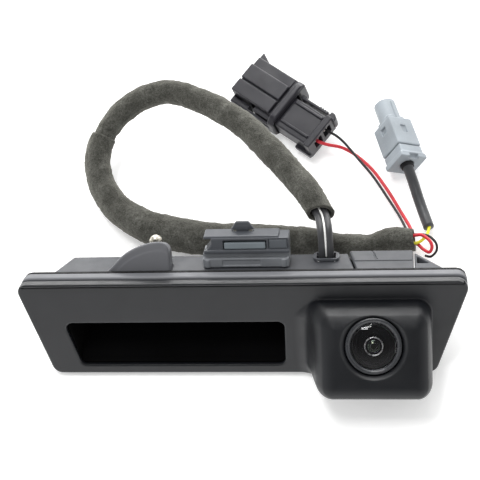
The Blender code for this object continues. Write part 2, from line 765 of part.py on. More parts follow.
# ---------------------------------------------------------------- cables from the handle to the sleeve
# x, y, z in the row frame, as are all wire paths below
CLIMB = [
    (28.1, 16.7, 14.8), (28.1, 20.0, 19.8), (28.1, 22.0, 23.4), (27.8, 26.4, 26.6),
    (26.9, 32.2, 25.7), (25.7, 35.8, 24.6), (24.0, 39.6, 24.3), (21.8, 43.0, 24.3),
]
CABLE_OFFSET = 1.45  # each cable's distance from the middle path


def shifted(path, sideways, rise=0.0):
    """The path moved sideways, square to its run in plan, and up by rise."""
    out = []
    for i, point in enumerate(path):
        run = Vector(path[min(i + 1, len(path) - 1)]) - Vector(path[max(i - 1, 0)])
        flat = Vector((run.y, -run.x, 0))
        flat = flat.normalized() if flat.length > 1e-6 else Vector((1, 0, 0))
        out.append(tuple(Vector(point) + flat * sideways + Vector((0, 0, rise))))
    return out


wire("video_cable", shifted(CLIMB, CABLE_OFFSET), 1.1, GREY_BLACK, resolution=2)
wire("power_cable", shifted(CLIMB, -CABLE_OFFSET), 1.1, GREY_BLACK, resolution=2)
wire("trigger_wire", shifted(CLIMB, 0.0, 1.15)[1:], 0.35, WHITE)

# ---------------------------------------------------------------- felt sleeves
# x, y, z, outer radius
UPPER_SLEEVE = [
    (26.3, 35.0, 24.0, 4.6), (21.1, 44.2, 24.3, 4.85), (11.0, 57.6, 24.3, 4.75),
    (-0.7, 71.6, 24.0, 5.0), (-10.1, 79.5, 23.6, 4.75), (-20.1, 85.9, 22.8, 4.75),
    (-31.1, 90.8, 21.5, 4.6), (-40.5, 90.0, 19.8, 4.5), (-48.3, 86.0, 17.6, 4.5),
    (-53.4, 80.7, 15.3, 4.4), (-55.4, 77.6, 14.1, 3.85), (-57.5, 72.6, 12.2, 3.8),
]
LOWER_SLEEVE = [
    (-55.9, 76.6, 13.7, 5.15), (-57.5, 72.6, 12.2, 5.1), (-58.2, 68.2, 10.8, 4.95),
    (-57.3, 63.2, 9.3, 5.2), (-54.7, 56.6, 7.9, 5.6), (-50.3, 50.6, 6.9, 5.95),
    (-44.0, 45.4, 6.6, 6.3), (-37.7, 41.6, 6.6, 6.4), (-27.4, 38.4, 6.6, 6.3),
    (-13.4, 35.8, 6.6, 6.2), (-5.1, 35.3, 6.6, 6.2), (10.9, 35.2, 6.2, 5.85),
    (21.8, 34.9, 5.8, 5.3), (30.0, 33.6, 5.6, 4.6), (41.2, 32.5, 5.8, 4.2),
    (46.0, 33.3, 6.4, 4.45), (51.4, 34.5, 7.0, 4.7), (57.7, 34.0, 7.2, 4.2),
]
sleeve("felt_sleeve_upper", UPPER_SLEEVE, 1.2)
sleeve("felt_sleeve_lower", LOWER_SLEEVE, 1.0)

# The wires that run through the sleeves, bundled
inside_sleeves = [station[:3] for station in UPPER_SLEEVE[2:10] + LOWER_SLEEVE[1:16]]
bundle_path = [(20.2, 45.4, 24.3), *inside_sleeves, (51.0, 34.4, 7.0)]
wire("harness_bundle", bundle_path, 2.0, GREY_BLACK)

# ---------------------------------------------------------------- loose wires
# name: radius, look, steps to a span, path
LOOSE_WIRES = {
    "red_wire": (0.55, RED, 3, [
        (24.2, 75.8, 7.9), (27.4, 75.4, 6.4), (32.1, 75.2, 4.6), (37.7, 72.4, 3.0),
        (43.3, 66.7, 2.4), (48.8, 57.6, 2.2), (53.1, 48.2, 3.4), (56.2, 40.8, 5.2),
    ]),
    "black_wire": (0.45, BLACK, 3, [
        (27.4, 79.8, 8.9), (30.2, 78.4, 7.8), (33.4, 75.6, 6.4), (37.8, 70.3, 5.2),
        (43.3, 63.0, 4.2), (48.8, 53.4, 3.6), (52.3, 46.5, 4.2), (54.2, 41.6, 5.0),
    ]),
    "red_slack_loop": (0.5, RED, 3, [
        (54.6, 35.4, 7.8), (59.2, 34.9, 9.0), (62.4, 32.4, 10.2), (64.2, 29.6, 9.6),
        (63.4, 27.2, 8.0), (61.2, 29.0, 6.6), (58.8, 32.2, 5.6), (54.8, 33.6, 4.8),
    ]),
    "black_slack_loop": (0.4, BLACK, 3, [
        (54.6, 36.0, 5.9), (59.6, 36.3, 6.8), (63.6, 33.4, 8.2), (65.9, 29.4, 7.8),
        (65.0, 25.9, 6.0), (61.6, 26.7, 4.6), (59.8, 29.0, 3.9),
    ]),
    "yellow_wire": (0.5, YELLOW, 4, [
        (54.8, 34.4, 6.3), (59.4, 33.4, 7.2), (61.0, 34.9, 4.9), (62.6, 37.0, 4.4),
        (63.3, 39.6, 4.2),
    ]),
}
for name, (radius, look, per, path) in LOOSE_WIRES.items():
    wire(name, path, radius, look, per)

# Coax jacket: straight inside and just behind its connector, then free
coax_turn = math.radians(COAX_TURN)
coax_along = Vector((math.cos(coax_turn), math.sin(coax_turn), 0))
jacket_path = [tuple(Vector(COAX_AT) + coax_along * reach) for reach in (2.6, -1.0, -4.5)]
jacket_path += [(58.3, 58.6, 5.4), (60.4, 52.8, 4.0), (62.2, 47.2, 3.7), (63.3, 41.3, 4.1)]
wire("coax_jacket", jacket_path, 1.7, GREY_BLACK, resolution=2)

# ---------------------------------------------------------------- two-way connector: plug on the wires
WAYS = {"1": -2.6, "2": 2.6}  # tag: y of each way

plug_body = box("plug_body", (-16.2, -7.0, -4.4), (11.6, 7.0, 3.2), plug, VIOLET_BLACK)
bevel(plug_body, 0.5, 1)
join(
    plug_body,
    box("plug_rear_rim", (-16.5, -7.7, -5.0), (-13.9, 7.7, 3.8), plug),
    box("plug_hinge_post", (-5.2, -7.9, -1.2), (-3.8, -6.5, 1.2), plug),
)
cut(
    plug_body,
    *[bar("plug_way_" + tag, -20, 15, 1.2, 1.2, plug, y=y) for tag, y in WAYS.items()],
    bar("plug_rear_recess", -20, -15.0, 5.2, 2.8, plug),
)

# Terminals in the plug and the pins that enter them
for tag, y in WAYS.items():
    terminal = bar("plug_terminal_" + tag, -9.0, 5.0, 0.85, 0.85, plug, TIN, y)
    cut(terminal, bar("terminal_bore_" + tag, -4.0, 8.0, 0.55, 0.55, plug, y=y))
    bar("receptacle_pin_" + tag, 1.2, 15.0, 0.32, 0.32, plug, TIN, y)

# Shroud around the plug's +X end
shroud = box("receptacle_shroud", (0.3, -11.9, -5.7), (20.8, 8.3, 4.5), plug, VIOLET_BLACK)
bevel(shroud, 0.4, 1)
join(
    shroud,
    box("collar", (0.5, -12.3, -6.2), (3.2, 9.0, 5.6), plug),
    box("rib_1", (4.6, -0.2, 4.0), (20.3, 5.2, 5.3), plug),
    box("rib_2", (4.6, -7.4, 4.0), (20.3, -0.9, 5.3), plug),
    box("wing", (16.2, -14.3, -1.8), (20.3, -11.0, 2.6), plug),
)
cut(
    shroud,
    box("shroud_mouth", (-2, -7.35, -4.75), (14.0, 7.35, 3.55), plug),
    box("side_step", (4.6, 5.3, 1.4), (25, 12.0, 8), plug),
    box("shroud_far_end", (15.9, -6.8, -4.2), (25, 6.8, 3.0), plug),
    *[bar("pin_socket_" + tag, 13.0, 15.3, 0.62, 0.62, plug, y=y) for tag, y in WAYS.items()],
)

# Latch lever beside the plug
latch_axis = empty("plug_latch_axis", (-4.5, -8.9, 0), parent=plug)
latch = box("plug_latch", (-8.6, -0.5, -2.0), (4.0, 0.7, 2.0), latch_axis, VIOLET_BLACK)
join(latch, box("latch_hook", (2.2, -1.3, -2.0), (4.0, 0.2, 2.0), latch_axis))

# ---------------------------------------------------------------- coaxial video connector
coax_housing = bar("coax_housing", 5.0, 16.0, 5.15, 5.15, coax_roll, BLUE_GREY)
bevel(coax_housing, 0.5, 1)
join(
    coax_housing,
    rod("coax_nose", 4.0, (15, 0, 0), (26, 0, 0), coax_roll, sides=24),
    box("coax_key_a", (15.5, -0.8, 3.3), (24.5, 0.8, 4.7), coax_roll),
    box("coax_key_b", (15.5, -4.7, -0.7), (22.5, -3.3, 0.7), coax_roll),
)
cut(
    coax_housing,
    rod("coax_mouth", 3.0, (14.2, 0, 0), (30, 0, 0), coax_roll, sides=24),
    rod("coax_rear_bore", 2.4, (0, 0, 0), (15, 0, 0), coax_roll),
    box("coax_window", (11.4, 4.3, -1.3), (14.0, 6.0, 1.3), coax_roll),
)

# Lock at the cable end of the housing
coax_lock = bar("coax_lock", 0.6, 4.7, 5.0, 5.0, coax_roll, BLUE_GREY)
bevel(coax_lock, 0.4, 1)
join(coax_lock, bar("lock_flare", -0.6, 1.2, 5.7, 5.2, coax_roll))
cut(coax_lock, rod("lock_bore", 2.5, (-5, 0, 0), (8, 0, 0), coax_roll))

# Round parts inside, turned so that their axis lies along the connector's +X
# name: look, steps, profile of (radius, distance along the axis)
COAX_PARTS = {
    "coax_ferrule": (TIN, 20, [(2.1, 13.4), (2.1, 3.0), (1.5, 3.0), (1.5, 13.4)]),
    "coax_dielectric": (NATURAL, 18, [(2.0, 21.0), (2.0, 14.0), (0.8, 14.0), (0.8, 21.0)]),
    "coax_contact": (BRASS, 14, [(0, 24.0), (0.3, 23.8), (0.5, 23.2), (0.5, 8.0), (0, 8.0)]),
}
for name, (look, steps, profile) in COAX_PARTS.items():
    turned(name, profile, steps, coax, look, turn=(0, 90, 0))
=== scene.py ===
import math
from functools import reduce

import bmesh
import bpy
import numpy as np
from mathutils import Matrix, Vector, noise

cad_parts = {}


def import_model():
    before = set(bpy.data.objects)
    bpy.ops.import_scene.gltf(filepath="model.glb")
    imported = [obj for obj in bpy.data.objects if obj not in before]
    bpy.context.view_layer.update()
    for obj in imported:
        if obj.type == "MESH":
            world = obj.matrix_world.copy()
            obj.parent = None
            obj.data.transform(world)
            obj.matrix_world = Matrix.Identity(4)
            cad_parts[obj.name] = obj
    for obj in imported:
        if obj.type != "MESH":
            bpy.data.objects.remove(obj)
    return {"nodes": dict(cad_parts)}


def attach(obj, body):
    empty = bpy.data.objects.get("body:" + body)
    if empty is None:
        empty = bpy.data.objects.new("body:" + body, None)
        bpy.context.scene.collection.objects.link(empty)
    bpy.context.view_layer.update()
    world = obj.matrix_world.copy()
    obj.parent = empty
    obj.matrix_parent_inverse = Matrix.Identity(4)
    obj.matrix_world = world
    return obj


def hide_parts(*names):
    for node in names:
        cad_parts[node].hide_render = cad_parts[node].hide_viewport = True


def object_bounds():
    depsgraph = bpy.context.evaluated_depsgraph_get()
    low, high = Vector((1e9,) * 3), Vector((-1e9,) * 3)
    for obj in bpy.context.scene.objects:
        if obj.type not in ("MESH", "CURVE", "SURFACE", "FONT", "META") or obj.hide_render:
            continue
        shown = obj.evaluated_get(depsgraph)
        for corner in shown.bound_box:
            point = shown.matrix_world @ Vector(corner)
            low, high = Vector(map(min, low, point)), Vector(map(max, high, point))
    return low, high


CAD_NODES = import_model()["nodes"]
cad_low, cad_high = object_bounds()
MM = 0.001
SCENE = bpy.context.scene
SCENE.view_settings.view_transform = "Standard"

# ------------------------------------------------------------------ frames
LEAN = math.radians(33.0)
UNDER_Y, UNDER_Z = 2.2, -18.4  # a point on the underside
REST_Y = 12.85  # the underside at this y is put at the row frame's origin


def underside(y):
    """Height of the sloping underside in the handle frame."""
    return UNDER_Z + math.tan(LEAN) * (y - UNDER_Y)


def turned(at, turn, tip):
    """A frame turned about Z, then tipped about its own X (degrees)."""
    return (
        Matrix.Translation(at)
        @ Matrix.Rotation(math.radians(turn), 4, "Z")
        @ Matrix.Rotation(math.radians(tip), 4, "X")
    )


REST_Z = underside(REST_Y)
ROW = Matrix.Identity(4)
HANDLE = Matrix.Translation((
    0,
    -REST_Y * math.cos(LEAN) - REST_Z * math.sin(LEAN),
    REST_Y * math.sin(LEAN) - REST_Z * math.cos(LEAN),
)) @ Matrix.Rotation(-LEAN, 4, "X")

PLUG = turned((12.3, 88.6, 8.6), turn=141.1, tip=-12.0)
COAX_AT, COAX_TURN = (54.9, 67.3, 8.1), 106.5
COAX = turned(COAX_AT, turn=COAX_TURN, tip=35.0)
COAX_SETBACK = 1.6  # the coaxial mouldings sit this far back along their frame's x
COAX_BODY = COAX @ Matrix.Translation((-COAX_SETBACK, 0, 0))

# lens frame: z out along the lens axis, from the centre of the snout's face
LENS_X, LENS_Y, LENS_Z = 44.0, -14.0, 1.0
LENS_TILT_DEG = 31.0
LENS_TILT = math.radians(LENS_TILT_DEG)
LENS = (
    HANDLE
    @ Matrix.Translation((LENS_X, LENS_Y, LENS_Z))
    @ Matrix.Rotation(math.radians(90.0 - LENS_TILT_DEG), 4, "X")
)


# ------------------------------------------------------------------ distance fields
# A field takes a point (x, y, z) and is negative inside the solid.
def meet(a, b, radius):
    """Intersection with a rounded edge."""
    edge = np.sqrt(np.maximum(a + radius, 0) ** 2 + np.maximum(b + radius, 0) ** 2)
    return np.minimum(-radius, np.maximum(a, b)) + edge


def join(a, b, radius):
    """Union with a fillet."""
    return -meet(-a, -b, radius)


def cut(a, b, radius):
    """a without b, with a rounded edge."""
    return meet(a, -b, radius)


def overlap(*fields):
    """Intersection with sharp edges."""
    return reduce(np.maximum, fields)


def box(point, low, high, radius):
    spans = [
        np.abs(c - (top + bottom) / 2) - (top - bottom) / 2 + radius
        for c, bottom, top in zip(point, low, high)
    ]
    inside = np.minimum(overlap(*spans), 0)
    return inside + np.sqrt(sum(np.maximum(c, 0) ** 2 for c in spans)) - radius


def add_boxes(solid, point, *boxes):
    """Join on boxes, each (low corner, high corner, edge radius, fillet radius)."""
    for low, high, radius, fillet in boxes:
        solid = join(solid, box(point, low, high, radius), fillet)
    return solid


def cut_boxes(solid, point, *boxes):
    """Cut away boxes, each (low corner, high corner, edge radius, rim radius)."""
    for low, high, radius, rim in boxes:
        solid = cut(solid, box(point, low, high, radius), rim)
    return solid


def polygon(u, v, outline):
    """Exact signed distance to a closed outline."""
    nearest, sign = None, 1.0
    for i, (ax, ay) in enumerate(outline):
        bx, by = outline[i - 1]
        edge_x, edge_y = bx - ax, by - ay
        to_x, to_y = u - ax, v - ay
        share = (to_x * edge_x + to_y * edge_y) / (edge_x * edge_x + edge_y * edge_y)
        share = np.clip(share, 0, 1)
        squared = (to_x - edge_x * share) ** 2 + (to_y - edge_y * share) ** 2
        nearest = squared if nearest is None else np.minimum(nearest, squared)
        above, below, beside = v >= ay, v < by, edge_x * to_y > edge_y * to_x
        crossed = (above & below & beside) | (~above & ~below & ~beside)
        sign = np.where(crossed, -sign, sign)
    return sign * np.sqrt(nearest)


def inset(outline, distance):
    """A convex outline moved inwards."""
    following = outline[1:] + outline[:1]
    area = sum(a[0] * b[1] - b[0] * a[1] for a, b in zip(outline, following))
    sign = 1 if area > 0 else -1
    moved = []
    for i, corner in enumerate(outline):
        before, here, after = Vector(outline[i - 1]), Vector(corner), Vector(following[i])
        dir_in, dir_out = (here - before).normalized(), (after - here).normalized()
        normal_in = Vector((-dir_in.y, dir_in.x)) * sign
        normal_out = Vector((-dir_out.y, dir_out.x)) * sign
        reach = distance / (1 + normal_in.dot(normal_out))
        moved.append(tuple(here + (normal_in + normal_out) * reach))
    return moved


def rounded(u, v, outline, radius):
    return polygon(u, v, inset(outline, radius)) - radius


def extrude(outline_field, w, low, high, radius):
    a = outline_field + radius
    b = np.abs(w - (low + high) / 2) - (high - low) / 2 + radius
    edge = np.hypot(np.maximum(a, 0), np.maximum(b, 0))
    return np.minimum(np.maximum(a, b), 0) + edge - radius


def smoothstep(t):
    t = np.clip(t, 0, 1)
    return t * t * (3 - 2 * t)


# ------------------------------------------------------------------ meshes from fields
def gradient(field, points, reach):
    slopes = np.empty_like(points)
    for i in range(3):
        offset = np.zeros(3)
        offset[i] = reach
        slopes[:, i] = (field((points + offset).T) - field((points - offset).T)) / (2 * reach)
    return slopes


def pull(field, points, longest, steps):
    """Move points onto the surface, no further than `longest` in one step."""
    for _ in range(steps):
        slopes = gradient(field, points, reach=0.03)
        squared = np.maximum((slopes * slopes).sum(1), 0.25)
        moves = -field(points.T)[:, None] * slopes / squared[:, None]
        lengths = np.linalg.norm(moves, axis=1)
        moves *= np.minimum(1, longest / np.maximum(lengths, 1e-9))[:, None]
        points = points + moves
    return points


def surface_net(field, low, high, cell):
    """Points and quads of the field's zero level: a point per mixed cell, pulled onto it."""
    low = np.array(low, float) - 1.6 * cell
    high = np.array(high, float) + 1.6 * cell
    size = np.ceil((high - low) / cell).astype(int) + 1
    xs, ys, zs = [low[i] + cell * np.arange(size[i]) for i in range(3)]
    grid = (xs[:, None, None], ys[None, :, None], zs[None, None, :])
    values = np.array(np.broadcast_to(field(grid), size), np.float32)
    solid = values < 0
    corners = [(i, j, k) for i in (0, 1) for j in (0, 1) for k in (0, 1)]
    count = np.zeros(size - 1, np.int8)
    for i, j, k in corners:
        count += solid[i : size[0] - 1 + i, j : size[1] - 1 + j, k : size[2] - 1 + k]
    mixed = (count > 0) & (count < 8)
    cells = np.argwhere(mixed)
    index = np.full(size - 1, -1, np.int64)
    index[mixed] = np.arange(len(cells))

    # each cell's point is the mean of the crossings on its edges
    total, crossings = np.zeros((len(cells), 3)), np.zeros(len(cells))
    for start in corners:
        for axis in range(3):
            if start[axis]:
                continue
            end = list(start)
            end[axis] = 1
            at_start, at_end = cells + np.array(start), cells + np.array(end)
            value_start, value_end = values[tuple(at_start.T)], values[tuple(at_end.T)]
            hit = (value_start < 0) != (value_end < 0)
            share = (value_start[hit] / (value_start[hit] - value_end[hit]))[:, None]
            total[hit] += at_start[hit] + share * (np.array(end) - np.array(start))
            crossings[hit] += 1
    points = low + cell * total / crossings[:, None]

    # a quad round each grid edge that crosses the surface
    quads = []
    for axis in range(3):
        others = [i for i in range(3) if i != axis]
        slice_near = [slice(1, size[i] - 1) for i in range(3)]
        slice_far = list(slice_near)
        slice_near[axis], slice_far[axis] = slice(0, size[axis] - 1), slice(1, size[axis])
        near, far = solid[tuple(slice_near)], solid[tuple(slice_far)]
        edges = np.argwhere(near != far)
        if not len(edges):
            continue
        outward = near[tuple(edges.T)]
        base = edges.copy()
        base[:, others] += 1
        ring = []
        for du, dv in ((-1, -1), (0, -1), (0, 0), (-1, 0)):
            around = base.copy()
            around[:, others[0]] += du
            around[:, others[1]] += dv
            ring.append(index[tuple(around.T)])
        quad = np.stack(ring, 1)
        forward = outward if axis != 1 else ~outward
        quad[~forward] = quad[~forward][:, ::-1]
        quads.append(quad)
    return pull(field, points, longest=0.6 * cell, steps=5), np.concatenate(quads)


def in_metres(points):
    return (points * MM).astype(np.float32).ravel()


def quad_mesh(name, points, quads):
    mesh = bpy.data.meshes.new(name)
    mesh.vertices.add(len(points))
    mesh.vertices.foreach_set("co", in_metres(points))
    mesh.loops.add(quads.size)
    mesh.loops.foreach_set("vertex_index", quads.astype(np.int32).ravel())
    mesh.polygons.add(len(quads))
    mesh.polygons.foreach_set("loop_start", np.arange(0, quads.size, 4, dtype=np.int32))
    mesh.update(calc_edges=True)
    return mesh


def new_object(name, data):
    thing = bpy.data.objects.new(name, data)
    SCENE.collection.objects.link(thing)
    return thing


def place(name, mesh, material, frame, body="handle", replaces=()):
    mesh.transform(Matrix.Scale(MM, 4) @ frame @ Matrix.Scale(1000.0, 4))
    piece = new_object(name, mesh)
    mesh.materials.append(MATERIALS[material])
    if replaces:
        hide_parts(*replaces)
    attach(piece, body)


def shape(name, field, low, high, cell, material, frame=HANDLE, body="handle", keep=0.4,
          replaces=()):
    """A piece from a field, thinned to `keep` of its faces and shaded by the field."""
    dense = quad_mesh(name, *surface_net(field, low, high, cell))
    holder = new_object(name + "_tmp", dense)
    holder.modifiers.new("thin", "DECIMATE").ratio = keep
    graph = bpy.context.evaluated_depsgraph_get()
    mesh = bpy.data.meshes.new_from_object(holder.evaluated_get(graph))
    bpy.data.objects.remove(holder)
    mesh.name = name
    flat = np.empty(len(mesh.vertices) * 3, np.float32)
    mesh.vertices.foreach_get("co", flat)
    points = flat.reshape(-1, 3).astype(float) / MM
    points = pull(field, points, longest=0.3 * cell, steps=3)
    mesh.vertices.foreach_set("co", in_metres(points))
    normals = gradient(field, points, reach=0.05)
    normals /= np.maximum(np.linalg.norm(normals, axis=1), 1e-9)[:, None]
    mesh.shade_smooth()
    mesh.normals_split_custom_set_from_vertices(normals.tolist())
    place(name, mesh, material, frame, body, replaces)


# ------------------------------------------------------------------ material tools
MATERIALS = {}


class Nodes:
    """A small builder for a node tree."""

    def __init__(self, tree):
        self.tree = tree

    def feed(self, socket, value):
        """Link an output into a socket, or set the socket's value."""
        if isinstance(value, bpy.types.NodeSocket):
            self.tree.links.new(value, socket)
        else:
            socket.default_value = (*value, 1) if socket.type == "RGBA" else value

    def node(self, kind, inputs=None, **settings):
        node = self.tree.nodes.new(kind)
        for key, value in settings.items():
            setattr(node, key, value)
        for key, value in (inputs or {}).items():
            self.feed(node.inputs[key], value)
        return node

    def ramp(self, factor, stops):
        """Colour ramp; stops are (position, colour)."""
        node = self.node("ShaderNodeValToRGB", {"Fac": factor})
        elements = node.color_ramp.elements
        for element, (at, colour) in ((elements[0], stops[0]), (elements[1], stops[-1])):
            element.position, element.color = at, (*colour, 1)
        for at, colour in stops[1:-1]:
            elements.new(at).color = (*colour, 1)
        return node.outputs["Color"]

    def remap(self, value, to, over=(0.3, 0.7)):
        """Stretch the values `over` a range to the range `to`."""
        inputs = {
            "From Min": over[0], "From Max": over[1], "To Min": to[0], "To Max": to[1],
            "Value": value,
        }
        return self.node("ShaderNodeMapRange", inputs).outputs["Result"]

    def mix(self, factor, a, b, blend="MIX"):
        inputs = {0: factor, 6: a, 7: b}
        return self.node("ShaderNodeMix", inputs, data_type="RGBA", blend_type=blend).outputs[2]

    def math(self, operation, a, b):
        return self.node("ShaderNodeMath", {0: a, 1: b}, operation=operation).outputs[0]

    def bump(self, height, strength, depth, base=None):
        """Bump of a depth in millimetres, on top of the normal `base`."""
        inputs = {"Strength": strength, "Distance": depth * MM, "Height": height}
        if base is not None:
            inputs["Normal"] = base
        return self.node("ShaderNodeBump", inputs).outputs["Normal"]


class Shader(Nodes):
    """A Principled material textured in the row frame, in metres."""

    def __init__(self, name):
        self.material = bpy.data.materials.new(name)
        self.material.use_nodes = True
        super().__init__(self.material.node_tree)
        self.coords = self.node("ShaderNodeTexCoord").outputs["Object"]
        MATERIALS[name] = self.material

    def noise(self, scale, detail=4.0, rough=0.55, stretch=None):
        coords = self.coords
        if stretch:
            mapping = self.node("ShaderNodeMapping", {"Vector": coords, "Scale": stretch})
            coords = mapping.outputs["Vector"]
        inputs = {"Vector": coords, "Scale": scale, "Detail": detail, "Roughness": rough}
        return self.node("ShaderNodeTexNoise", inputs).outputs["Fac"]

    def surface(self, **values):
        """Feed the Principled inputs, spaces written as underscores."""
        inputs = self.tree.nodes["Principled BSDF"].inputs
        for key, value in values.items():
            self.feed(inputs[key.replace("_", " ")], value)


def tone(colour, factor, offset=0.0):
    return tuple(min(1, c * factor + offset) for c in colour)


# ------------------------------------------------------------------ materials
def plastic(name, colour, rough, spread, grain, grain_scale, wear, specular, lift):
    """Moulded plastic: fine grain, faint flow mottling, lighter rubbed edges."""
    shader = Shader(name)
    mottle = shader.noise(scale=55, detail=3, rough=0.5)
    base = shader.ramp(mottle, [(0.32, tone(colour, 0.84)), (0.68, tone(colour, 1.16))])
    speck = shader.noise(scale=2600, detail=2, rough=0.6)
    speck = shader.remap(speck, to=(0.0, 0.35), over=(0.62, 0.75))
    base = shader.mix(speck, base, tone(colour, 1.7, offset=0.004))
    edges = shader.node("ShaderNodeNewGeometry").outputs["Pointiness"]
    edges = shader.remap(edges, to=(0.0, 1.0), over=(0.52, 0.62))
    rub = shader.math("MULTIPLY", edges, shader.remap(shader.noise(scale=420), to=(0.2, 1.0)))
    worn = tone(colour, 1 + lift, offset=0.012)
    base = shader.mix(shader.math("MULTIPLY", rub, wear), base, worn)
    sheen = shader.remap(shader.noise(scale=160), to=(rough - spread, rough + spread))
    sheen = shader.math("SUBTRACT", sheen, shader.math("MULTIPLY", rub, 0.12))
    fine = shader.noise(scale=grain_scale, detail=2, rough=0.6)
    normal = shader.bump(fine, strength=0.55, depth=grain)
    waves = shader.noise(scale=90, detail=2)
    normal = shader.bump(waves, strength=0.25, depth=0.03, base=normal)
    shader.surface(Base_Color=base, Roughness=sheen, Normal=normal, Specular_IOR_Level=specular)


def rubber(name, colour):
    shader = Shader(name)
    blotch = shader.noise(scale=300)
    shader.surface(
        Base_Color=shader.ramp(blotch, [(0.3, tone(colour, 0.8)), (0.7, tone(colour, 1.4))]),
        Roughness=shader.remap(shader.noise(scale=700, detail=3), to=(0.7, 0.95)),
        Normal=shader.bump(shader.noise(scale=1800, detail=3), strength=0.5, depth=0.04),
    )


def metal(name, colour, rough):
    shader = Shader(name)
    stops = [(0.3, tone(colour, 0.72)), (0.55, colour), (0.8, tone(colour, 1.12))]
    shader.surface(
        Base_Color=shader.ramp(shader.noise(scale=350, detail=5), stops),
        Metallic=1.0,
        Roughness=shader.remap(shader.noise(scale=900), to=(rough * 0.7, rough * 1.5)),
        Normal=shader.bump(shader.noise(scale=2500, detail=3), strength=0.4, depth=0.012),
    )


def insulation(name, colour):
    """Wire and cable jackets: slightly glossy vinyl with scuffs."""
    shader = Shader(name)
    rough = 0.38
    stops = [(0.3, tone(colour, 0.86)), (0.7, tone(colour, 1.12))]
    base = shader.ramp(shader.noise(scale=240), stops)
    scuff = shader.noise(scale=900, detail=5, rough=0.7, stretch=(1, 1, 1))
    scuff = shader.remap(scuff, to=(0.0, 0.5), over=(0.62, 0.78))
    gloss = shader.noise(scale=500, detail=3)
    shader.surface(
        Base_Color=shader.mix(scuff, base, tone(colour, 1.5, offset=0.03)),
        Roughness=shader.remap(gloss, to=(rough - 0.1, rough + 0.14)),
        Normal=shader.bump(shader.noise(scale=1500, detail=3), strength=0.35, depth=0.02),
    )


def felt(name):
    """Felted fleece tape: matted fibres, lint specks and a soft nap."""
    shader = Shader(name)
    fibre = shader.noise(scale=1500, detail=6, rough=0.72, stretch=(1.0, 1.0, 1.0))
    drift = shader.noise(scale=230, detail=5, rough=0.65)
    streak = shader.noise(scale=650, rough=0.6, stretch=(2.6, 0.5, 1.0))
    fibre_part = shader.math("MULTIPLY", fibre, 0.62)
    matted = shader.math("ADD", fibre_part, shader.math("MULTIPLY", drift, 0.38))
    base = shader.ramp(matted, [
        (0.35, (0.009, 0.009, 0.008)),
        (0.47, (0.047, 0.047, 0.041)),
        (0.58, (0.094, 0.094, 0.084)),
        (0.72, (0.190, 0.189, 0.174)),
    ])
    patch = shader.noise(scale=95, rough=0.6, stretch=(1.6, 0.8, 1.0))
    patch = shader.remap(patch, to=(0.0, 0.55), over=(0.40, 0.62))
    base = shader.mix(patch, base, (0.016, 0.016, 0.013))
    lint = shader.noise(scale=3300, detail=2, rough=0.8)
    lint = shader.remap(lint, to=(0.0, 1.0), over=(0.66, 0.74))
    base = shader.mix(shader.math("MULTIPLY", lint, 0.55), base, (0.34, 0.33, 0.30))
    # cells with warped edges, for clumps of fibre
    warp = shader.node("ShaderNodeTexNoise", {"Scale": 900, "Vector": shader.coords})
    warped = shader.mix(0.0012, shader.coords, warp.outputs["Color"], blend="ADD")
    clumps = shader.node(
        "ShaderNodeTexVoronoi", {"Scale": 1700, "Vector": warped}, feature="DISTANCE_TO_EDGE"
    )
    clump = shader.math("MINIMUM", clumps.outputs["Distance"], 0.3)
    fibre_height = shader.math("MULTIPLY", fibre, 0.8)
    height = shader.math("ADD", fibre_height, shader.math("MULTIPLY", clump, 0.9))
    normal = shader.bump(height, strength=0.9, depth=0.28)
    shader.surface(
        Base_Color=base,
        Roughness=1.0,
        Normal=shader.bump(streak, strength=0.5, depth=0.3, base=normal),
        Specular_IOR_Level=0.1,
        Sheen_Weight=0.55,
        Sheen_Roughness=0.6,
        Sheen_Tint=(0.55, 0.54, 0.48),
    )


def board(name):
    shader = Shader(name)
    brick = shader.node("ShaderNodeTexBrick", {
        "Scale": 900,
        "Color1": (0.012, 0.10, 0.045),
        "Color2": (0.010, 0.075, 0.035),
        "Mortar": (0.05, 0.20, 0.10),
        "Vector": shader.coords,
    })
    shader.surface(
        Base_Color=brick.outputs["Color"],
        Roughness=shader.remap(shader.noise(scale=600), to=(0.25, 0.45)),
        Normal=shader.bump(brick.outputs["Fac"], strength=0.3, depth=0.03),
    )


def glass(name, tint, film_ior, film_thickness):
    """Clear glass with a thin film; the film's thickness is in nanometres."""
    shader = Shader(name)
    blotch = shader.noise(scale=70, detail=2)
    ripple = shader.noise(scale=260, detail=1)
    shader.surface(
        Base_Color=shader.ramp(blotch, [(0.3, tone(tint, 0.95)), (0.7, tint)]),
        Roughness=shader.remap(shader.noise(scale=400), to=(0.008, 0.03)),
        Transmission_Weight=1.0,
        IOR=1.5,
        Thin_Film_Thickness=film_thickness,
        Thin_Film_IOR=film_ior,
        Normal=shader.bump(ripple, strength=0.05, depth=0.0008),
    )


def sensor(name):
    shader = Shader(name)
    checks = shader.node("ShaderNodeTexChecker", {
        "Scale": 2500,
        "Color1": (0.03, 0.03, 0.07),
        "Color2": (0.05, 0.08, 0.06),
        "Vector": shader.coords,
    })
    shader.surface(
        Base_Color=checks.outputs["Color"],
        Metallic=0.4,
        Roughness=shader.remap(shader.noise(scale=500), to=(0.08, 0.2)),
    )


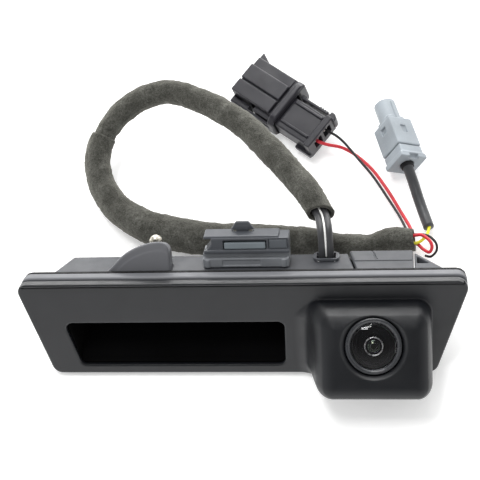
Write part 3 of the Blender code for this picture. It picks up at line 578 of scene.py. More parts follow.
# name: colour, roughness, its spread, grain depth, grain scale, edge wear, specular, and
# how much lighter the worn edges are
PLASTICS = {
    "trim_plastic": ((0.0058, 0.0066, 0.0086), 0.41, 0.06, 0.014, 6500, 0.30, 0.66, 1.5),
    "frame_plastic": ((0.056, 0.059, 0.066), 0.48, 0.08, 0.02, 4800, 0.35, 0.5, 1.5),
    "module_plastic": ((0.060, 0.065, 0.074), 0.42, 0.08, 0.014, 4800, 0.5, 0.5, 1.5),
    "housing_plastic": ((0.190, 0.200, 0.215), 0.40, 0.08, 0.014, 4800, 0.5, 0.5, 0.8),
    "side_plate": ((0.085, 0.094, 0.105), 0.42, 0.08, 0.014, 4800, 0.4, 0.5, 1.5),
    "lens_ring_plastic": ((0.030, 0.032, 0.036), 0.27, 0.05, 0.010, 5200, 0.2, 0.8, 1.5),
    "window_slab": ((0.190, 0.220, 0.240), 0.40, 0.06, 0.012, 4800, 0.2, 0.5, 1.5),
    "pocket_plastic": ((0.0022, 0.0022, 0.0024), 0.88, 0.06, 0.02, 3800, 0.08, 0.05, 1.5),
    "connector_plastic": ((0.021, 0.0205, 0.026), 0.38, 0.08, 0.012, 5200, 0.55, 0.5, 2.2),
    "coax_plastic": ((0.315, 0.350, 0.380), 0.44, 0.07, 0.012, 5200, 0.30, 0.5, 0.35),
    "inner_black": ((0.003, 0.003, 0.004), 0.55, 0.1, 0.02, 4000, 0.1, 0.12, 0.5),
    "undyed_plastic": ((0.72, 0.70, 0.64), 0.45, 0.06, 0.01, 5000, 0.1, 0.5, 0.1),
}
# name, colour, roughness
METALS = [
    ("plain_steel", (0.58, 0.58, 0.60), 0.28),
    ("nickel_brass", (0.74, 0.70, 0.60), 0.26),
    ("tin_plate", (0.70, 0.70, 0.69), 0.24),
    ("gold_flash", (0.86, 0.66, 0.30), 0.22),
]
# name, colour
JACKETS = [
    ("cable_jacket", (0.046, 0.047, 0.050)),
    ("red_insulation", (0.62, 0.030, 0.045)),
    ("black_insulation", (0.018, 0.018, 0.019)),
    ("yellow_insulation", (0.78, 0.74, 0.03)),
    ("white_insulation", (0.82, 0.82, 0.80)),
]
for _name, _settings in PLASTICS.items():
    plastic(_name, *_settings)
rubber("black_rubber", (0.012, 0.012, 0.0125))
for _row in METALS:
    metal(*_row)
for _row in JACKETS:
    insulation(*_row)
felt("felt_fleece")
board("circuit_board")
glass("cover_glass", tint=(0.90, 0.90, 0.92), film_ior=1.33, film_thickness=0)
glass("coated_lens", tint=(0.30, 0.28, 0.38), film_ior=1.6, film_thickness=260)
sensor("sensor_face")

# ------------------------------------------------------------------ CAD pieces that stay
CAD_MATERIALS = {
    "black_rubber": ["bezel_seal", "flange_gasket", "switch_boot", "lens_o_ring"],
    "nickel_brass": ["threaded_insert"],
    "plain_steel": ["pad_pivot_pin", "contact_spring", "camera_screw_1", "camera_screw_2"],
    "undyed_plastic": ["switch_plunger", "coax_dielectric"],
    "tin_plate": [
        "switch_terminal_a", "switch_terminal_b", "plug_terminal_1", "plug_terminal_2",
        "receptacle_pin_1", "receptacle_pin_2", "coax_ferrule",
    ],
    "inner_black": ["lens_holder"],
    "circuit_board": ["sensor_board"],
    "sensor_face": ["image_sensor"],
    "frame_plastic": ["cable_grommet"],
    "gold_flash": ["coax_contact"],
    "cable_jacket": ["harness_bundle"],
}
SOFT_EDGE = 0.08


def dress_cad_piece(piece, material):
    """Give a CAD piece its material, a small bevel and smooth shading."""
    piece.data.materials.clear()
    piece.data.materials.append(MATERIALS[material])
    bevel = piece.modifiers.new("soften", "BEVEL")
    bevel.width = SOFT_EDGE * MM
    bevel.segments = 2
    bevel.limit_method = "ANGLE"
    bevel.angle_limit = math.radians(40)
    for face in piece.data.polygons:
        face.use_smooth = True
    piece.modifiers.new("shade", "WEIGHTED_NORMAL")


for _material, _names in CAD_MATERIALS.items():
    for _name in _names:
        dress_cad_piece(CAD_NODES[_name], _material)

# ------------------------------------------------------------------ front face and snout
# outlines in the face plane, (x, z)
FACE = [(-75.9, 17.5), (75.9, 17.5), (64.0, -17.6), (-65.6, -17.6)]
POCKET_MOUTH = [(-60.3, 1.9), (14.4, 1.9), (14.0, -14.3), (-55.8, -14.3)]
SNOUT_WALL = 2.0


def face_outline(x, z):
    return rounded(x, z, FACE, 3.8)


def lens_height(y, z):
    """Distance out from the snout's face along the lens axis."""
    return -math.cos(LENS_TILT) * (y - LENS_Y) + math.sin(LENS_TILT) * (z - LENS_Z)


def snout(point, grow=0.0):
    """The camera's snout, its left side flaring towards the back and its rim bevelled."""
    x, y, z = point
    front = lens_height(y, z)
    back = np.minimum(-12.0 + math.sin(LENS_TILT) * (z - LENS_Z), -4.0)
    share = np.clip(front / back, -0.2, 1.1)
    left = (26.4 - 5.0 * share - x) / 1.06
    right = x - 62.6
    bottom = -0.1026 * (y + 23.75) - 0.9947 * (z + 15.2)
    sides = np.maximum(left, right) - grow
    tube = meet(np.maximum(z - 10.3, bottom) - grow, sides, 4.8 + grow)
    bevel = (tube + front - grow) * 0.7071 + 2.0
    return meet(meet(tube, front - grow, 1.2), bevel, 1.7)


def front_trim(point):
    x, y, z = point
    face = face_outline(x, z)
    panel = extrude(face, y, 0.0, 2.0, 0.5)
    lip = extrude(meet(face, 16.4 - z, 0.25), y, -1.4, 1.2, 0.5)
    solid = join(panel, lip, 0.2)
    solid = cut_boxes(solid, point, ((-73.2, -3.0, 15.7), (73.2, 0.6, 16.4), 0.2, 0.2))
    # the fillet round the snout widens towards its lower left
    fillet = 0.5 + 3.2 * smoothstep((42.0 - x) / 14.0) * smoothstep((9.0 - z) / 5.0)
    solid = join(solid, meet(snout(point), y - 3.2, 0.2), fillet)
    solid = meet(solid, -(z + 17.75), 0.5)
    solid = cut(solid, rounded(x, z, POCKET_MOUTH, 2.2), 0.7)
    solid = cut(solid, snout(point, grow=-SNOUT_WALL), 0.2)
    # the lens bore, with a countersunk rim
    height = lens_height(y, z)
    across, upward = x - LENS_X, (y - LENS_Y) * math.sin(LENS_TILT) + (
        z - LENS_Z
    ) * math.cos(LENS_TILT)
    radius = np.sqrt(across * across + upward * upward)
    bore = np.minimum(radius - 9.4, (radius - 10.8 - height) * 0.7071)
    return cut(solid, np.maximum(bore, -7.0 - height), 0.3)


shape(
    "front_bezel_and_snout", front_trim, (-76, -25, -18.2), (76, 3.4, 17.8), 0.45,
    "trim_plastic", keep=0.45, replaces=("front_bezel", "camera_front_housing"),
)

# ------------------------------------------------------------------ rear frame
FRAME_WALL = 1.5
SWITCH_X, SWITCH_Y = 1.0, 16.0  # axis of the round hole up into the switch
# top, back y, edge radius, fillet: the tower, then its taller front wall
TOWER_PARTS = [(25.0, 15.6, 1.0, 0.7), (27.5, 10.4, 0.45, 0.4)]


def frame_sides(point):
    """Left, right, top and underside planes of the frame's body."""
    x, y, z = point
    share = (y - 7.4) / 14.9
    left = (-66.0 + 6.0 * share + 0.134 * (16.0 - z)) - x
    right = x - (70.0 - 12.0 * share - 0.254 * (16.0 - z))
    return left * 0.92, right * 0.77, z - 16.0, (underside(y) - z) * math.cos(LEAN)


def left_of_pocket(point, offset):
    """Positive left of the pocket's slanting left side, moved right by `offset`."""
    x, y, z = point
    return -(x - (-60.8 + 3.0 * (y - 2.3) / 16.7 + 3.5 * (3.2 - z) / 18.4 + offset))


def left_of_cover(point, start):
    """Positive left of the camera cover's slanting left side."""
    x, y, _ = point
    return (start - (y - 9.6) * 0.223) - x


def tower_outline(x, z, top):
    slope = -0.716 * (x + 34.9) + 0.698 * (z - top)
    return meet(meet(slope, z - top, 6.0), x + 23.8, 3.0)


def rear_frame(point):
    x, y, z = point
    left, right, top, low = frame_sides(point)
    flange = extrude(face_outline(x, z), y, 3.5, 7.4, 0.9)
    body = meet(meet(left, right, 0.5), top, 0.7)
    body = meet(body, meet(low, np.maximum(y - 22.3, 5.0 - y), 0.5), 0.6)
    solid = join(flange, body, 0.8)
    cavity = overlap(*(side + FRAME_WALL for side in (left, right, top, low)), 5.5 - y)
    solid = cut(solid, cavity, 0.3)
    for tower_top, back, edge, fillet in TOWER_PARTS:
        tower = meet(tower_outline(x, z, tower_top), np.maximum(9.3 - y, y - back), edge)
        solid = join(solid, np.maximum(tower, 14.8 - z), fillet)
    # inner ribs
    solid = add_boxes(
        solid, point,
        ((-30.7, 19.6, -20), (-29.3, 21.8, 15.2), 0.3, 0.4),
        ((20.3, 5.2, -20), (21.7, 21.8, 15.2), 0.3, 0.4),
        ((-62.8, 5.2, -1.0), (-61.2, 11.5, 15.2), 0.3, 0.4),
    )
    solid = meet(solid, low, 0.35)
    # room for the finger pocket: the way in, then the space behind
    for low_corner, high_corner in (
        ((-61.1, -5, -15.75), (16.1, 6.2, 3.6)),
        ((-61.1, 5.5, -6.0), (16.1, 19.4, 12.2)),
    ):
        room = box(point, low_corner, high_corner, 0.2)
        solid = cut(solid, np.maximum(room, left_of_pocket(point, -0.35)), 0.2)
    # room for the camera: the opening in front, then the seat of its rear cover
    solid = cut_boxes(solid, point, ((29.5, -5, -12.5), (58.5, 6.2, 8.6), 0.5, 0.2))
    saddle = box(point, (30.0, 8.6, -3.2), (57.6, 50, 50), 0.3)
    solid = cut(solid, np.maximum(saddle, left_of_cover(point, 38.0)), 0.25)
    # holes up into the switch and down the tower
    switch_hole = np.hypot(x - SWITCH_X, y - SWITCH_Y) - 2.0
    solid = cut(solid, np.maximum(switch_hole, 13 - z), 0.2)
    tower_hole = np.hypot(x + 28.4, y - 12.7) - 2.25
    solid = cut(solid, np.maximum(tower_hole, 17.0 - z), 0.1)
    # a notch at the top right, then the cables' opening
    notch = box(point, (58.4, 14.6, 13.2), (70, 21.0, 30), 0.4)
    solid = cut(solid, np.maximum(notch, right + 1.4), 0.25)
    return cut_boxes(solid, point, ((24.9, 16.6, 12), (31.3, 20.75, 18), 0.8, 0.3))


def paint_light_above(material, start, end, colour):
    """Paint light onto a material: fade it to a paler colour between two heights (handle frame), a
    painted highlight on all that stands higher.
    """
    nodes = Nodes(material.node_tree)
    base = nodes.tree.nodes["Principled BSDF"].inputs["Base Color"]
    coords = nodes.node("ShaderNodeTexCoord").outputs["Object"]
    up = Vector((0.0, math.sin(LEAN), math.cos(LEAN)))
    height = nodes.node("ShaderNodeVectorMath", {0: coords, 1: up}, operation="DOT_PRODUCT")
    zero = HANDLE.translation.dot(up) * MM
    over = (zero + start * MM, zero + end * MM)
    # painted light: the share of the paler colour grows with height
    painted_light = nodes.remap(height.outputs["Value"], to=(0.0, 0.85), over=over)
    nodes.feed(base, nodes.mix(painted_light, base.links[0].from_socket, colour))


# the tower and all of the frame above its top get painted light: a paler grey that stands in for the
# light falling on them from above
plastic("frame_plastic_painted_lit_tower", *PLASTICS["frame_plastic"])
paint_light_above(
    MATERIALS["frame_plastic_painted_lit_tower"], start=16.3, end=17.2, colour=(0.165, 0.168, 0.180)
)
shape(
    "rear_frame_moulding", rear_frame, (-76, 3.3, -18.2), (76, 22.6, 28.1), 0.5,
    "frame_plastic_painted_lit_tower", keep=0.45, replaces=("rear_frame",),
)


# ------------------------------------------------------------------ camera rear cover
def rear_cover(point):
    x, y, z = point
    solid = box(point, (30.0, 9.0, -2.8), (57.2, 23.4, 16.6), 0.9)
    solid = meet(solid, left_of_cover(point, 38.6), 0.9)
    solid = cut_boxes(solid, point, ((36.2, 0, -1.2), (55.6, 21.8, 15.0), 0.6, 0.2))
    # a slanting crease in the top
    crease = np.abs(0.967 * (x - 43.4) + 0.256 * (y - 23.0)) - 0.2
    solid = cut(solid, overlap(crease, 16.4 - y, 16.25 - z), 0.15)
    return cut_boxes(
        solid, point,
        ((20, 5, 16.3), (80, 15.7, 20), 0.1, 0.2),  # step along the top
        ((30, 14.6, 8.0), (40, 18.0, 11.4), 0.3, 0.2),  # window in the left side
    )


shape(
    "camera_rear_cover_shell", rear_cover, (34, 8.8, -3), (57.5, 23.6, 17), 0.4,
    "frame_plastic", replaces=("camera_rear_cover",),
)

# ------------------------------------------------------------------ finger pocket
# cross-sections, (y, z)
POCKET_OUTER = [(2.3, 3.2), (5.8, 3.2), (5.8, 11.8), (19, 11.8), (19, -4.3), (2.3, -15.2)]
POCKET_INNER = [
    (-9, 1.9), (6.9, 1.9), (6.9, 10.7), (17.9, 10.7), (17.9, -3.9), (2.2, -14.1), (-9, -14.1)
]


def finger_pocket(point):
    x, y, z = point
    solid = extrude(polygon(y, z, POCKET_OUTER), x, -60.8, 15.8, 0.25)
    solid = meet(solid, left_of_pocket(point, 0.0), 0.4)
    hollow = extrude(polygon(y, z, POCKET_INNER), x, -59.6, 14.7, 0.5)
    solid = cut(solid, np.maximum(hollow, left_of_pocket(point, 1.2)), 0.3)
    return cut_boxes(solid, point, ((-2.4, 13.2, 9), (4.4, 17.6, 13), 0.4, 0.2))


shape(
    "finger_pocket_cup", finger_pocket, (-61, 2.2, -15.4), (16, 19.2, 12), 0.5,
    "pocket_plastic", keep=0.35, replaces=("finger_pocket",),
)

# ------------------------------------------------------------------ release pad
PAD_X, PAD_Y, PAD_Z = -19.0, 9.0, 8.8  # middle of its pivot
PAD_RIB_PITCH, PAD_RIB_HALF = 2.7, 0.45


def release_pad(point):
    """A pad hung from a tube round its pivot, ribbed underneath."""
    x, y, z = point[0] - PAD_X, point[1] - PAD_Y, point[2] - PAD_Z
    local = (x, y, z)
    solid = box(local, (-27, 0, -1.6), (27, 8.4, 0.0), 0.5)
    solid = join(solid, meet(np.hypot(y, z) - 1.6, np.abs(x) - 26.9, 0.2), 0.4)
    for k in range(-9, 10):
        left, right = k * PAD_RIB_PITCH - PAD_RIB_HALF, k * PAD_RIB_PITCH + PAD_RIB_HALF
        solid = add_boxes(solid, local, ((left, 1.9, -2.05), (right, 7.6, -1.2), 0.35, 0.2))
    solid = add_boxes(solid, local, ((18.6, 5.6, -0.5), (21.4, 8.2, 4.6), 0.3, 0.4))
    return cut(solid, np.hypot(y, z) - 1.05, 0.1)


shape(
    "release_pad_ribbed", release_pad, (-46.3, 7.0, 6.4), (8.3, 17.8, 13.7), 0.35,
    "black_rubber", body="release_pad", replaces=("release_pad",),
)


# ------------------------------------------------------------------ switch module
def switch_housing(point):
    x, y, z = point
    solid = box(point, (-13, 12, 16.3), (16, 19.9, 21.1), 0.45)
    solid = cut_boxes(
        solid, point,
        ((-11.3, 14.6, 17.8), (13.5, 18.6, 30), 0.4, 0.2),  # inside
        ((-20, 8, 19.7), (20, 13.5, 26), 0.2, 0.25),  # step along the front
    )
    axis = np.hypot(x - SWITCH_X, y - SWITCH_Y)
    solid = cut(solid, np.maximum(axis - 1.7, 14 - z), 0.1)
    solid = cut(solid, np.maximum(axis - 3.3, z - 17.2), 0.1)
    # a shallow recess in the front, then a post at each end of it
    solid = cut_boxes(solid, point, ((-6.4, 11.0, 17.1), (6.6, 12.25, 19.1), 0.2, 0.1))
    for post in (-11.4, 14.4):
        low, high = (post - 0.7, 11.6, 16.4), (post + 0.7, 12.6, 19.4)
        solid = add_boxes(solid, point, (low, high, 0.3, 0.3))
    return solid


shape(
    "switch_housing_block", switch_housing, (-13.3, 11.3, 16), (16.3, 20.2, 21.4), 0.3,
    "housing_plastic", keep=0.35, replaces=("switch_housing",),
)

# (x, z)
COVER_OUTLINE = [(-12.5, 21.4), (16.2, 21.4), (16.2, 27.0), (-9.8, 27.0), (-9.8, 24.8)]


def switch_cover(point):
    x, y, z = point
    solid = extrude(rounded(x, z, COVER_OUTLINE, 0.35), y, 12.5, 18.9, 0.4)
    solid = add_boxes(
        solid, point,
        ((-12.4, 12.0, 21.4), (16.2, 14.5, 22.7), 0.3, 0.2),  # foot along the front
        ((-12.3, 12.9, 26.5), (12.9, 18.9, 27.6), 0.35, 0.2),  # top plate
    )
    return cut_boxes(
        solid, point,
        ((-5.8, 8, 22.8), (8.7, 13.9, 26.1), 0.3, 0.2),  # seat of the slab
        ((9.5, 8, 23.0), (15.8, 12.8, 26.6), 0.3, 0.15),  # seat of the side plate
        ((-8.8, 14.8, 18), (13, 17.8, 24.4), 0.4, 0.2),  # inside
        ((-2.7, 16.8, 26.3), (3.7, 30, 34), 0.2, 0.2),  # slot for the latch tab
    )


def window_slab(point):
    return box(point, (-5.5, 12.55, 22.95), (8.4, 13.75, 25.3), 0.35)


def side_plate(point):
    return box(point, (9.75, 12.35, 23.25), (15.55, 12.7, 26.35), 0.15)


def latch_tab(point):
    """A stem with a tapering head."""
    x, y, z = point[0] - 0.5, point[1] - 17.7, point[2] - 27.0
    taper = (np.abs(x) - 2.1 - (3.8 - z) * 0.667) / 1.2
    head = meet(meet(taper, np.maximum(z - 3.8, 0.95 - z), 0.35), np.abs(y) - 0.6, 0.25)
    return add_boxes(head, (x, y, z), ((-2.1, -0.6, -0.3), (2.1, 0.6, 2.5), 0.25, 0.2))


shape(
    "switch_cover_block", switch_cover, (-12.9, 11.8, 21.2), (16.6, 19.2, 27.9), 0.28,
    "module_plastic", replaces=("switch_cover",),
)
shape(
    "switch_window_slab", window_slab, (-5.8, 12.3, 22.7), (8.7, 14.0, 25.6), 0.2,
    "window_slab",
)
shape(
    "switch_side_plate", side_plate, (9.5, 12.1, 23.0), (15.8, 13.0, 26.6), 0.18, "side_plate"
)
shape(
    "switch_latch_tab_moulding", latch_tab, (-4.2, 16.9, 26.5), (5.2, 18.5, 31.0), 0.2,
    "module_plastic", body="latch_tab", replaces=("switch_latch_tab",),
)


# ------------------------------------------------------------------ camera optics
def smooth_mesh(name, bm, sharp=None):
    """Mesh with outward normals, smooth but for edges above `sharp` degrees."""
    bmesh.ops.recalc_face_normals(bm, faces=bm.faces)
    mesh = bpy.data.meshes.new(name)
    bm.to_mesh(mesh)
    bm.free()
    mesh.shade_smooth()
    if sharp:
        mesh.set_sharp_from_angle(angle=math.radians(sharp))
    return mesh


def lathe(name, profile, material, steps=96, replaces=(), sharp=40):
    """Spin (radius, z) points about the lens axis; closed unless both ends have radius 0."""
    bm = bmesh.new()
    rings = []
    for radius, z in profile:
        count = steps if radius else 1
        angles = [2 * math.pi * k / steps for k in range(count)]
        rings.append([
            bm.verts.new((radius * MM * math.cos(a), radius * MM * math.sin(a), z * MM))
            for a in angles
        ])
    pairs = list(zip(rings, rings[1:]))
    if profile[0][0] or profile[-1][0]:
        pairs.append((rings[-1], rings[0]))
    for a, b in pairs:
        for k in range(steps):
            j = (k + 1) % steps
            if len(a) == 1:
                bm.faces.new((a[0], b[k], b[j]))
            elif len(b) == 1:
                bm.faces.new((a[k], b[0], a[j]))
            else:
                bm.faces.new((a[k], b[k], b[j], a[j]))
    place(name, smooth_mesh(name, bm, sharp), material, LENS, replaces=replaces)


def arc(radius, z, bend, start, end, count):
    """Profile points on a circle of radius `bend`, between two angles in degrees."""
    points = []
    for k in range(count + 1):
        angle = math.radians(start + (end - start) * k / count)
        points.append((radius + bend * math.cos(angle), z + bend * math.sin(angle)))
    return points


GLASS_BEND = 30.0
GLASS_RADIUS = 7.15
GLASS_CROWN = -0.9  # below the snout's face
GLASS_THICKNESS = 0.9


def dome(crown, count):
    """Profile of a shallow dome from its crown to its rim."""
    radii = [GLASS_RADIUS * k / count for k in range(count + 1)]
    return [(r, crown - GLASS_BEND + math.sqrt(GLASS_BEND**2 - r * r)) for r in radii]


lathe(
    "lens_bezel_ring_turned",
    [(7.45, -3.6), (9.1, -3.6), (9.1, -1.5)]
    + arc(8.45, -1.3, bend=0.65, start=0, end=100, count=9)
    + [(7.95, -0.82), (7.6, -1.25), (7.45, -1.7)],
    "lens_ring_plastic", replaces=("lens_bezel_ring",),
)
lathe(
    "front_glass_dome",
    dome(GLASS_CROWN, 18) + dome(GLASS_CROWN - GLASS_THICKNESS, 14)[::-1],
    "cover_glass", replaces=("front_glass",), sharp=60,
)
lathe(
    "lens_barrel_stepped",
    [
        (6.4, -3.7), (6.6, -3.9), (6.6, -11.0), (2.0, -11.0), (2.0, -5.0), (3.2, -4.7),
        (3.2, -4.25), (3.9, -4.1), (4.1, -3.98), (4.3, -4.08), (5.2, -3.92), (5.4, -3.8),
        (5.6, -3.9), (6.0, -3.82), (6.2, -3.7),
    ],
    "inner_black", replaces=("lens_barrel",),
)
lathe(
    "lens_retaining_ring_polished",
    arc(2.86, -3.55, bend=0.24, start=0, end=360, count=16)[:-1],
    "tin_plate", replaces=("lens_retaining_ring",),
)
lathe(
    "inner_lens_coated",
    [(0, -3.0), (0.6, -3.04), (1.2, -3.17), (1.8, -3.4), (2.3, -3.75), (2.3, -4.5), (0, -4.5)],
    "coated_lens", steps=64, replaces=("inner_lens",), sharp=60,
)
lathe(
    "iris_disc", [(0.55, -4.62), (1.9, -4.62), (1.9, -4.72), (0.55, -4.72)], "inner_black",
    steps=48,
)
lathe(
    "iris_rim", arc(0.95, -4.6, bend=0.09, start=0, end=360, count=8)[:-1], "tin_plate",
    steps=48,
)


# ------------------------------------------------------------------ tubes
def spline(points, count):
    """Catmull-Rom curve with `count` steps between points."""
    knots = [Vector(p) for p in points]
    ends = [2 * knots[0] - knots[1]] + knots + [2 * knots[-1] - knots[-2]]
    curve = []
    for i in range(1, len(ends) - 2):
        a, b, c, d = ends[i - 1 : i + 3]
        for k in range(count):
            t = k / count
            square, cube = 2 * a - 5 * b + 4 * c - d, 3 * b - a - 3 * c + d
            curve.append(0.5 * (2 * b + (c - a) * t + square * t**2 + cube * t**3))
    curve.append(knots[-1])
    return curve


def resample(path, step):
    """Evenly spaced points along a path, and its length."""
    lengths = [0.0]
    for a, b in zip(path, path[1:]):
        lengths.append(lengths[-1] + (b - a).length)
    count = max(2, int(round(lengths[-1] / step)))
    coords = np.array([tuple(p) for p in path])
    places = np.linspace(0, lengths[-1], count + 1)
    even = [
        Vector([float(np.interp(at, lengths, coords[:, i])) for i in range(3)])
        for at in places
    ]
    return even, lengths[-1]


def directions(path):
    """Tangent and two steady cross directions at each point, the first kept near level."""
    found = []
    for i in range(len(path)):
        tangent = (path[min(i + 1, len(path) - 1)] - path[max(i - 1, 0)]).normalized()
        side = tangent.cross(Vector((0, 0, 1)))
        if side.length > 0.15:
            side = side.normalized()
        else:
            side = found[-1][1] if found else Vector((1, 0, 0))
        side = (side - tangent * side.dot(tangent)).normalized()
        if found and side.dot(found[-1][1]) < 0:
            side = -side
        found.append((tangent, side, tangent.cross(side)))
    return found


def bridge(bm, a, b):
    """Quads between two rings of vertices."""
    for k in range(len(a)):
        j = (k + 1) % len(a)
        bm.faces.new((a[k], a[j], b[j], b[k]))


def circle(bm, centre, side, up, radius, count):
    ring = []
    for k in range(count):
        angle = 2 * math.pi * k / count
        across, rise = side * (radius * math.cos(angle)), up * (radius * math.sin(angle))
        ring.append(bm.verts.new((centre + across + rise) * MM))
    return ring


# rings that round off a cable's end: share of its radius, shift out as a share of it
CABLE_END = [(0.8, 0.12), (0.4, 0.16)]


def cable(name, points, radius, material, replaces=(), sides=20, step=0.8, frame=ROW):
    path, _ = resample(spline(points, 10), step)
    axes = directions(path)
    bm = bmesh.new()
    rings = [
        circle(bm, centre, side, up, radius, sides) for centre, (_, side, up) in zip(path, axes)
    ]
    for end, sign in ((0, -1), (-1, 1)):
        tangent, side, up = axes[end]
        ring = rings[end]
        for share, shift in CABLE_END:
            centre = path[end] + tangent * (sign * shift * radius)
            smaller = circle(bm, centre, side, up, share * radius, sides)
            bridge(bm, ring, smaller)
            ring = smaller
        bm.faces.new(ring)
    for a, b in zip(rings, rings[1:]):
        bridge(bm, a, b)
    place(name, smooth_mesh(name, bm, sharp=60), material, frame, replaces=replaces)


def shifted(path, aside, rise=0.0):
    """A path moved level to its right and upwards."""
    moved = []
    for i, p in enumerate(path):
        along = Vector(path[min(i + 1, len(path) - 1)]) - Vector(path[max(i - 1, 0)])
        flat = Vector((along.y, -along.x, 0))
        flat = flat.normalized() if flat.length > 1e-6 else Vector((1, 0, 0))
        moved.append(tuple(Vector(p) + flat * aside + Vector((0, 0, rise))))
    return moved


# ------------------------------------------------------------------ cables to the felt sleeve
# row frame, from the frame's opening up and back
CLIMB = [
    (28.1, 16.7, 14.8), (28.1, 20.0, 19.8), (28.1, 22.0, 23.4), (27.8, 26.4, 26.6),
    (26.9, 32.2, 25.7), (25.7, 35.8, 24.6), (24.0, 39.6, 24.3), (21.8, 43.0, 24.3),
]
for _kind, _aside in (("video", 1.3), ("power", -1.3)):
    cable(
        _kind + "_cable_jacket", shifted(CLIMB, _aside), 1.28, "cable_jacket",
        replaces=(_kind + "_cable",), step=0.6,
    )
cable(
    "trigger_wire_insulation", shifted(CLIMB, 0.0, rise=1.1)[1:], 0.36, "white_insulation",
    replaces=("trigger_wire",), sides=12, step=0.6,
)

# ------------------------------------------------------------------ felt sleeves
OBLIQUE_REACH = 12  # an oblique cut fades out over this length


def felt_bumps(q, seed):
    """Large, middling and fine lumps at a point of the sleeve."""
    coarse = Vector((q.x * 0.16 + seed, q.y * 0.16, q.z * 0.16))
    middling = Vector((q.x * 0.62, q.y * 0.62 + seed, q.z * 0.62))
    fine = Vector((q.x * 2.3, q.y * 2.3, q.z * 2.3 + seed))
    return (
        noise.fractal(coarse, 1.0, 2.0, 2) * 0.30,
        noise.fractal(middling, 0.9, 2.0, 3) * 0.20,
        noise.noise(fine) * 0.10,
    )


def felt_ridge(angle, along):
    """The tape's overlap: a ridge along the sleeve with a groove beside it."""
    turn = (angle - 0.9 - 0.012 * along + 0.25 * math.sin(along * 0.05)) % (2 * math.pi)
    ridge = 0.34 * math.exp(-turn * 2.2) if turn < 2.6 else 0.0
    return ridge - 0.18 * math.exp(-((2 * math.pi - turn) * 5.0))


def felt_tube(name, points, radii, wall, replaces, seed, cut_start=(0, 0), cut_end=(0, 0)):
    """A lumpy wrapped sleeve, open at both ends. A cut's numbers slant it to side and up."""
    path, total = resample(spline(points, 12), 0.8)
    axes = directions(path)
    sides = 84
    shares = np.linspace(0, 1, len(path))
    radius_at = np.interp(shares, np.linspace(0, 1, len(radii)), radii)
    bm = bmesh.new()
    outer, inner_places = [], []
    for centre, (tangent, side, up), share, radius in zip(path, axes, shares, radius_at):
        ring, ring_inner = [], []
        along = share * total
        for k in range(sides):
            angle = 2 * math.pi * k / sides
            cosine, sine = math.cos(angle), math.sin(angle)
            outward = side * cosine + up * sine
            shift = 0.0
            if along < OBLIQUE_REACH:
                slant = cut_start[0] * cosine + cut_start[1] * sine
                shift -= slant * (1 - along / OBLIQUE_REACH)
            if total - along < OBLIQUE_REACH:
                slant = cut_end[0] * cosine + cut_end[1] * sine
                shift += slant * (1 - (total - along) / OBLIQUE_REACH)
            base = centre + tangent * shift
            lump, mid, fine = felt_bumps(base + outward * radius, seed)
            bumpy = radius - 0.18 + lump + mid + fine + felt_ridge(angle, along)
            ring.append(bm.verts.new((base + outward * bumpy) * MM))
            ring_inner.append((base + outward * (radius - wall + 0.3 * mid)) * MM)
        outer.append(ring)
        inner_places.append(ring_inner)
    inner = [[bm.verts.new(p) for p in ring] for ring in inner_places]
    for a, b in zip(outer, outer[1:]):
        bridge(bm, a, b)
    for a, b in zip(inner, inner[1:]):
        bridge(bm, b, a)
    bridge(bm, inner[0], outer[0])
    bridge(bm, outer[-1], inner[-1])
    place(name, smooth_mesh(name, bm), "felt_fleece", ROW, replaces=replaces)


# centre lines in the row frame; radii are spaced evenly along each
UPPER_PATH = [
    (26.3, 35.0, 24.0), (21.1, 44.2, 24.3), (11.0, 57.6, 24.3), (-0.7, 71.6, 24.0),
    (-10.1, 79.5, 23.6), (-20.1, 85.9, 22.8), (-31.1, 90.8, 21.5), (-40.5, 90.0, 19.8),
    (-48.3, 86.0, 17.6), (-53.4, 80.7, 15.3), (-55.4, 77.6, 14.1), (-57.5, 72.6, 12.2),
]
UPPER_RADII = [4.5, 4.86, 4.75, 5.0, 4.75, 4.75, 4.65, 4.55, 4.5, 4.5, 4.2, 3.7]
LOWER_PATH = [
    (-55.9, 76.6, 13.7), (-57.5, 72.6, 12.2), (-58.2, 68.2, 10.8), (-57.3, 63.2, 9.3),
    (-54.7, 56.6, 7.9), (-50.3, 50.6, 6.9), (-44.0, 45.4, 6.6), (-37.7, 41.6, 6.6),
    (-27.4, 38.4, 6.6), (-13.4, 35.8, 6.6), (-5.1, 35.3, 6.6), (10.9, 35.2, 6.2),
    (21.8, 34.9, 5.8), (30.0, 33.6, 5.6), (41.2, 32.5, 5.8), (46.0, 33.3, 6.4),
    (51.4, 34.5, 7.0), (57.7, 34.0, 7.2),
]
LOWER_RADII = [
    4.75, 4.95, 5.0, 5.25, 5.6, 5.95, 6.25, 6.4, 6.3, 6.2, 6.15, 5.85, 5.3, 4.6, 4.2, 4.45,
    4.7, 4.1,
]
felt_tube(
    "felt_sleeve_upper_wrap", UPPER_PATH, UPPER_RADII, wall=1.15,
    replaces=("felt_sleeve_upper",), seed=3.1, cut_start=(1.7, 0.6),
)
felt_tube(
    "felt_sleeve_lower_wrap", LOWER_PATH, LOWER_RADII, wall=0.9,
    replaces=("felt_sleeve_lower",), seed=11.7, cut_end=(0.5, 0.4),
)

# ------------------------------------------------------------------ wires
WAY_Y = 2.6  # the connector's two ways lie at y = -2.6 and 2.6 in its frame


def wire_start(y):
    """The first two points of a wire, leaving the plug."""
    return [tuple(PLUG @ Vector((x, y, 0))) for x in (-13.5, -17.0)]


